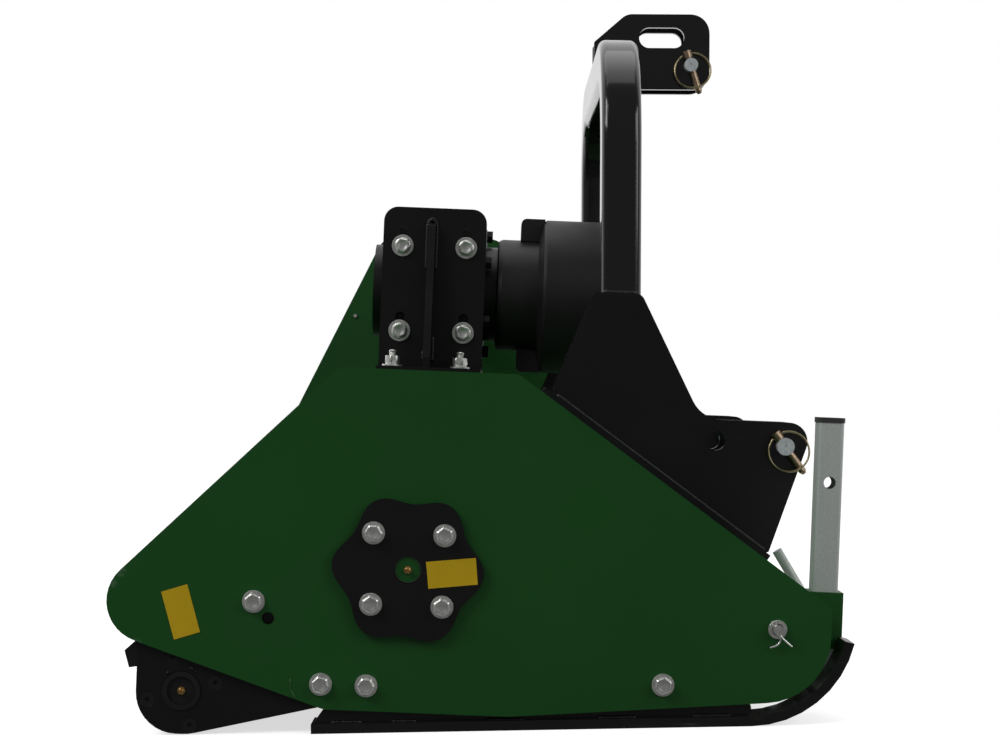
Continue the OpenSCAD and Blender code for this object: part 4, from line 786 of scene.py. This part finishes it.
def welds():
    """All beads, and the short painted one on the right side plate."""
    fixed = bmesh.new()
    arms = bmesh.new()
    for side, s, start in (("right", 1, 374), ("left", -1, 398)):
        bracket_welds(fixed, s, start)
        hitch_welds(fixed, s)
        skid_welds(fixed, side, s)
        roller_welds(arms, s)
    mast_welds(fixed)
    put_on(mesh_object("frame_welds", fixed, WELD_ANGLE), "frame", "black_weld")
    put_on(mesh_object("arm_welds", arms, WELD_ANGLE), "roller_frame", "black_weld")
    seam = bmesh.new()
    weld(seam, [machine(PLATE_X - 0.4, y, z) for y, z in PLATE_SEAM], 0.0016)
    put_on(mesh_object("plate_weld", seam, WELD_ANGLE), "frame", "green_weld")


side_bolts()
bracket_hardware()
rod_keepers()
shaft_ends()
sticker("plate_sticker", PLATE_X, [(-283.1, -36.9), (-253.4, -27.0), (-236.5, -81.5), (-266.1, -91.5)])
sticker("hub_sticker", PLATE_X + HUB_T, [(20.6, 10.2), (77.7, 17.0), (81.1, -13.5), (24.6, -20.6)])
welds()

# Camera at the photograph's place: picture, focal length and vanishing point are in pixels
WIDTH = 1000
HEIGHT = 750
FOCAL = 2341.0
VANISH = (495.0, 390.0)
ROLL = math.radians(-1.0)
SENSOR = 36.0
CAMERA_AT = Vector((ROTOR.x + 3.350, ROTOR.y + 0.1042, 0.392))


def photo_camera():
    """Camera that looks along -X, turned until the vanishing point lies where it is in the photograph."""
    data = bpy.data.cameras.new("camera")
    data.sensor_fit = "HORIZONTAL"
    data.sensor_width = SENSOR
    data.lens = FOCAL * SENSOR / WIDTH
    camera = bpy.data.objects.new("camera", data)
    bpy.context.scene.collection.objects.link(camera)
    du = (VANISH[0] - WIDTH / 2) / FOCAL
    dv = (HEIGHT / 2 - VANISH[1]) / FOCAL
    along_x = Matrix(((0, 0, 1), (1, 0, 0), (0, 1, 0)))
    aim = Matrix.Rotation(math.atan(du), 3, "Y") @ Matrix.Rotation(-math.atan(dv), 3, "X")
    turn = along_x @ aim @ Matrix.Rotation(ROLL, 3, "Z")
    camera.matrix_world = Matrix.Translation(CAMERA_AT) @ turn.to_4x4()
    bpy.context.scene.camera = camera


# Studio: a white floor and backdrop, bright behind the machine and dim in front of it, as in the photograph
FLOOR_HALF = 14
FRONT_GLOW = 0.14
BACK_GLOW = 1.0
FADE = 0.30


def white_floor():
    """Floor that looks white, catches shadows and throws no light on the machine."""
    h = FLOOR_HALF
    mesh = bpy.data.meshes.new("floor")
    mesh.from_pydata([(-h, -h, 0), (h, -h, 0), (h, h, 0), (-h, h, 0)], [], [(0, 1, 2, 3)])
    floor = bpy.data.objects.new("floor", mesh)
    bpy.context.scene.collection.objects.link(floor)
    shader = Shader("floor", specular=0.0)
    value(shader.bsdf, "Base Color", (0.86, 0.86, 0.86, 1.0))
    value(shader.bsdf, "Roughness", 0.9)
    value(shader.bsdf, "Emission Color", (1.0, 1.0, 1.0, 1.0))
    value(shader.bsdf, "Emission Strength", 0.66)
    mesh.materials.append(shader.mat)
    floor.visible_diffuse = False
    floor.visible_glossy = False


def studio_world():
    """White to the camera; to the machine a glow that fades from the back to the front."""
    world = bpy.data.worlds.new("studio")
    world.use_nodes = True
    tree = world.node_tree
    backdrop = tree.nodes["Background"]
    value(backdrop, "Color", (1.0, 1.0, 1.0, 1.0))
    value(backdrop, "Strength", 1.0)
    glow = tree.nodes.new("ShaderNodeBackground")
    split = tree.nodes.new("ShaderNodeSeparateXYZ")
    tree.links.new(tree.nodes.new("ShaderNodeTexCoord").outputs["Generated"], split.inputs[0])
    fade = tree.nodes.new("ShaderNodeMapRange")
    fade.interpolation_type = "SMOOTHSTEP"
    value(fade, "From Min", -FADE)
    value(fade, "From Max", FADE)
    value(fade, "To Min", BACK_GLOW)
    value(fade, "To Max", FRONT_GLOW)
    tree.links.new(split.outputs["X"], fade.inputs["Value"])
    tree.links.new(fade.outputs["Result"], glow.inputs["Strength"])
    pick = tree.nodes.new("ShaderNodeMixShader")
    tree.links.new(tree.nodes.new("ShaderNodeLightPath").outputs["Is Camera Ray"], pick.inputs[0])
    tree.links.new(glow.outputs[0], pick.inputs[1])
    tree.links.new(backdrop.outputs[0], pick.inputs[2])
    tree.links.new(pick.outputs[0], tree.nodes["World Output"].inputs["Surface"])
    bpy.context.scene.world = world


def area_light(name, place, target, size, power):
    """Rectangular light at the place, aimed at the target; sizes in metres, power in watts."""
    data = bpy.data.lights.new(name, "AREA")
    data.shape = "RECTANGLE"
    data.size, data.size_y = size
    data.energy = power
    light = bpy.data.objects.new(name, data)
    bpy.context.scene.collection.objects.link(light)
    light.location = place
    light.rotation_euler = (Vector(target) - Vector(place)).to_track_quat("-Z", "Y").to_euler()


photo_camera()
white_floor()
studio_world()
area_light("key", (2.3, -2.4, 2.7), (0.3, 0.0, 0.4), size=(2.2, 1.6), power=46)
area_light("fill", (2.5, 2.7, 1.7), (0.3, 0.1, 0.4), size=(2.0, 2.0), power=24)
area_light("top", (0.0, 0.0, 3.8), (0.0, 0.0, 0.0), size=(3.0, 3.0), power=20)
bpy.context.scene.view_settings.view_transform = "Standard"
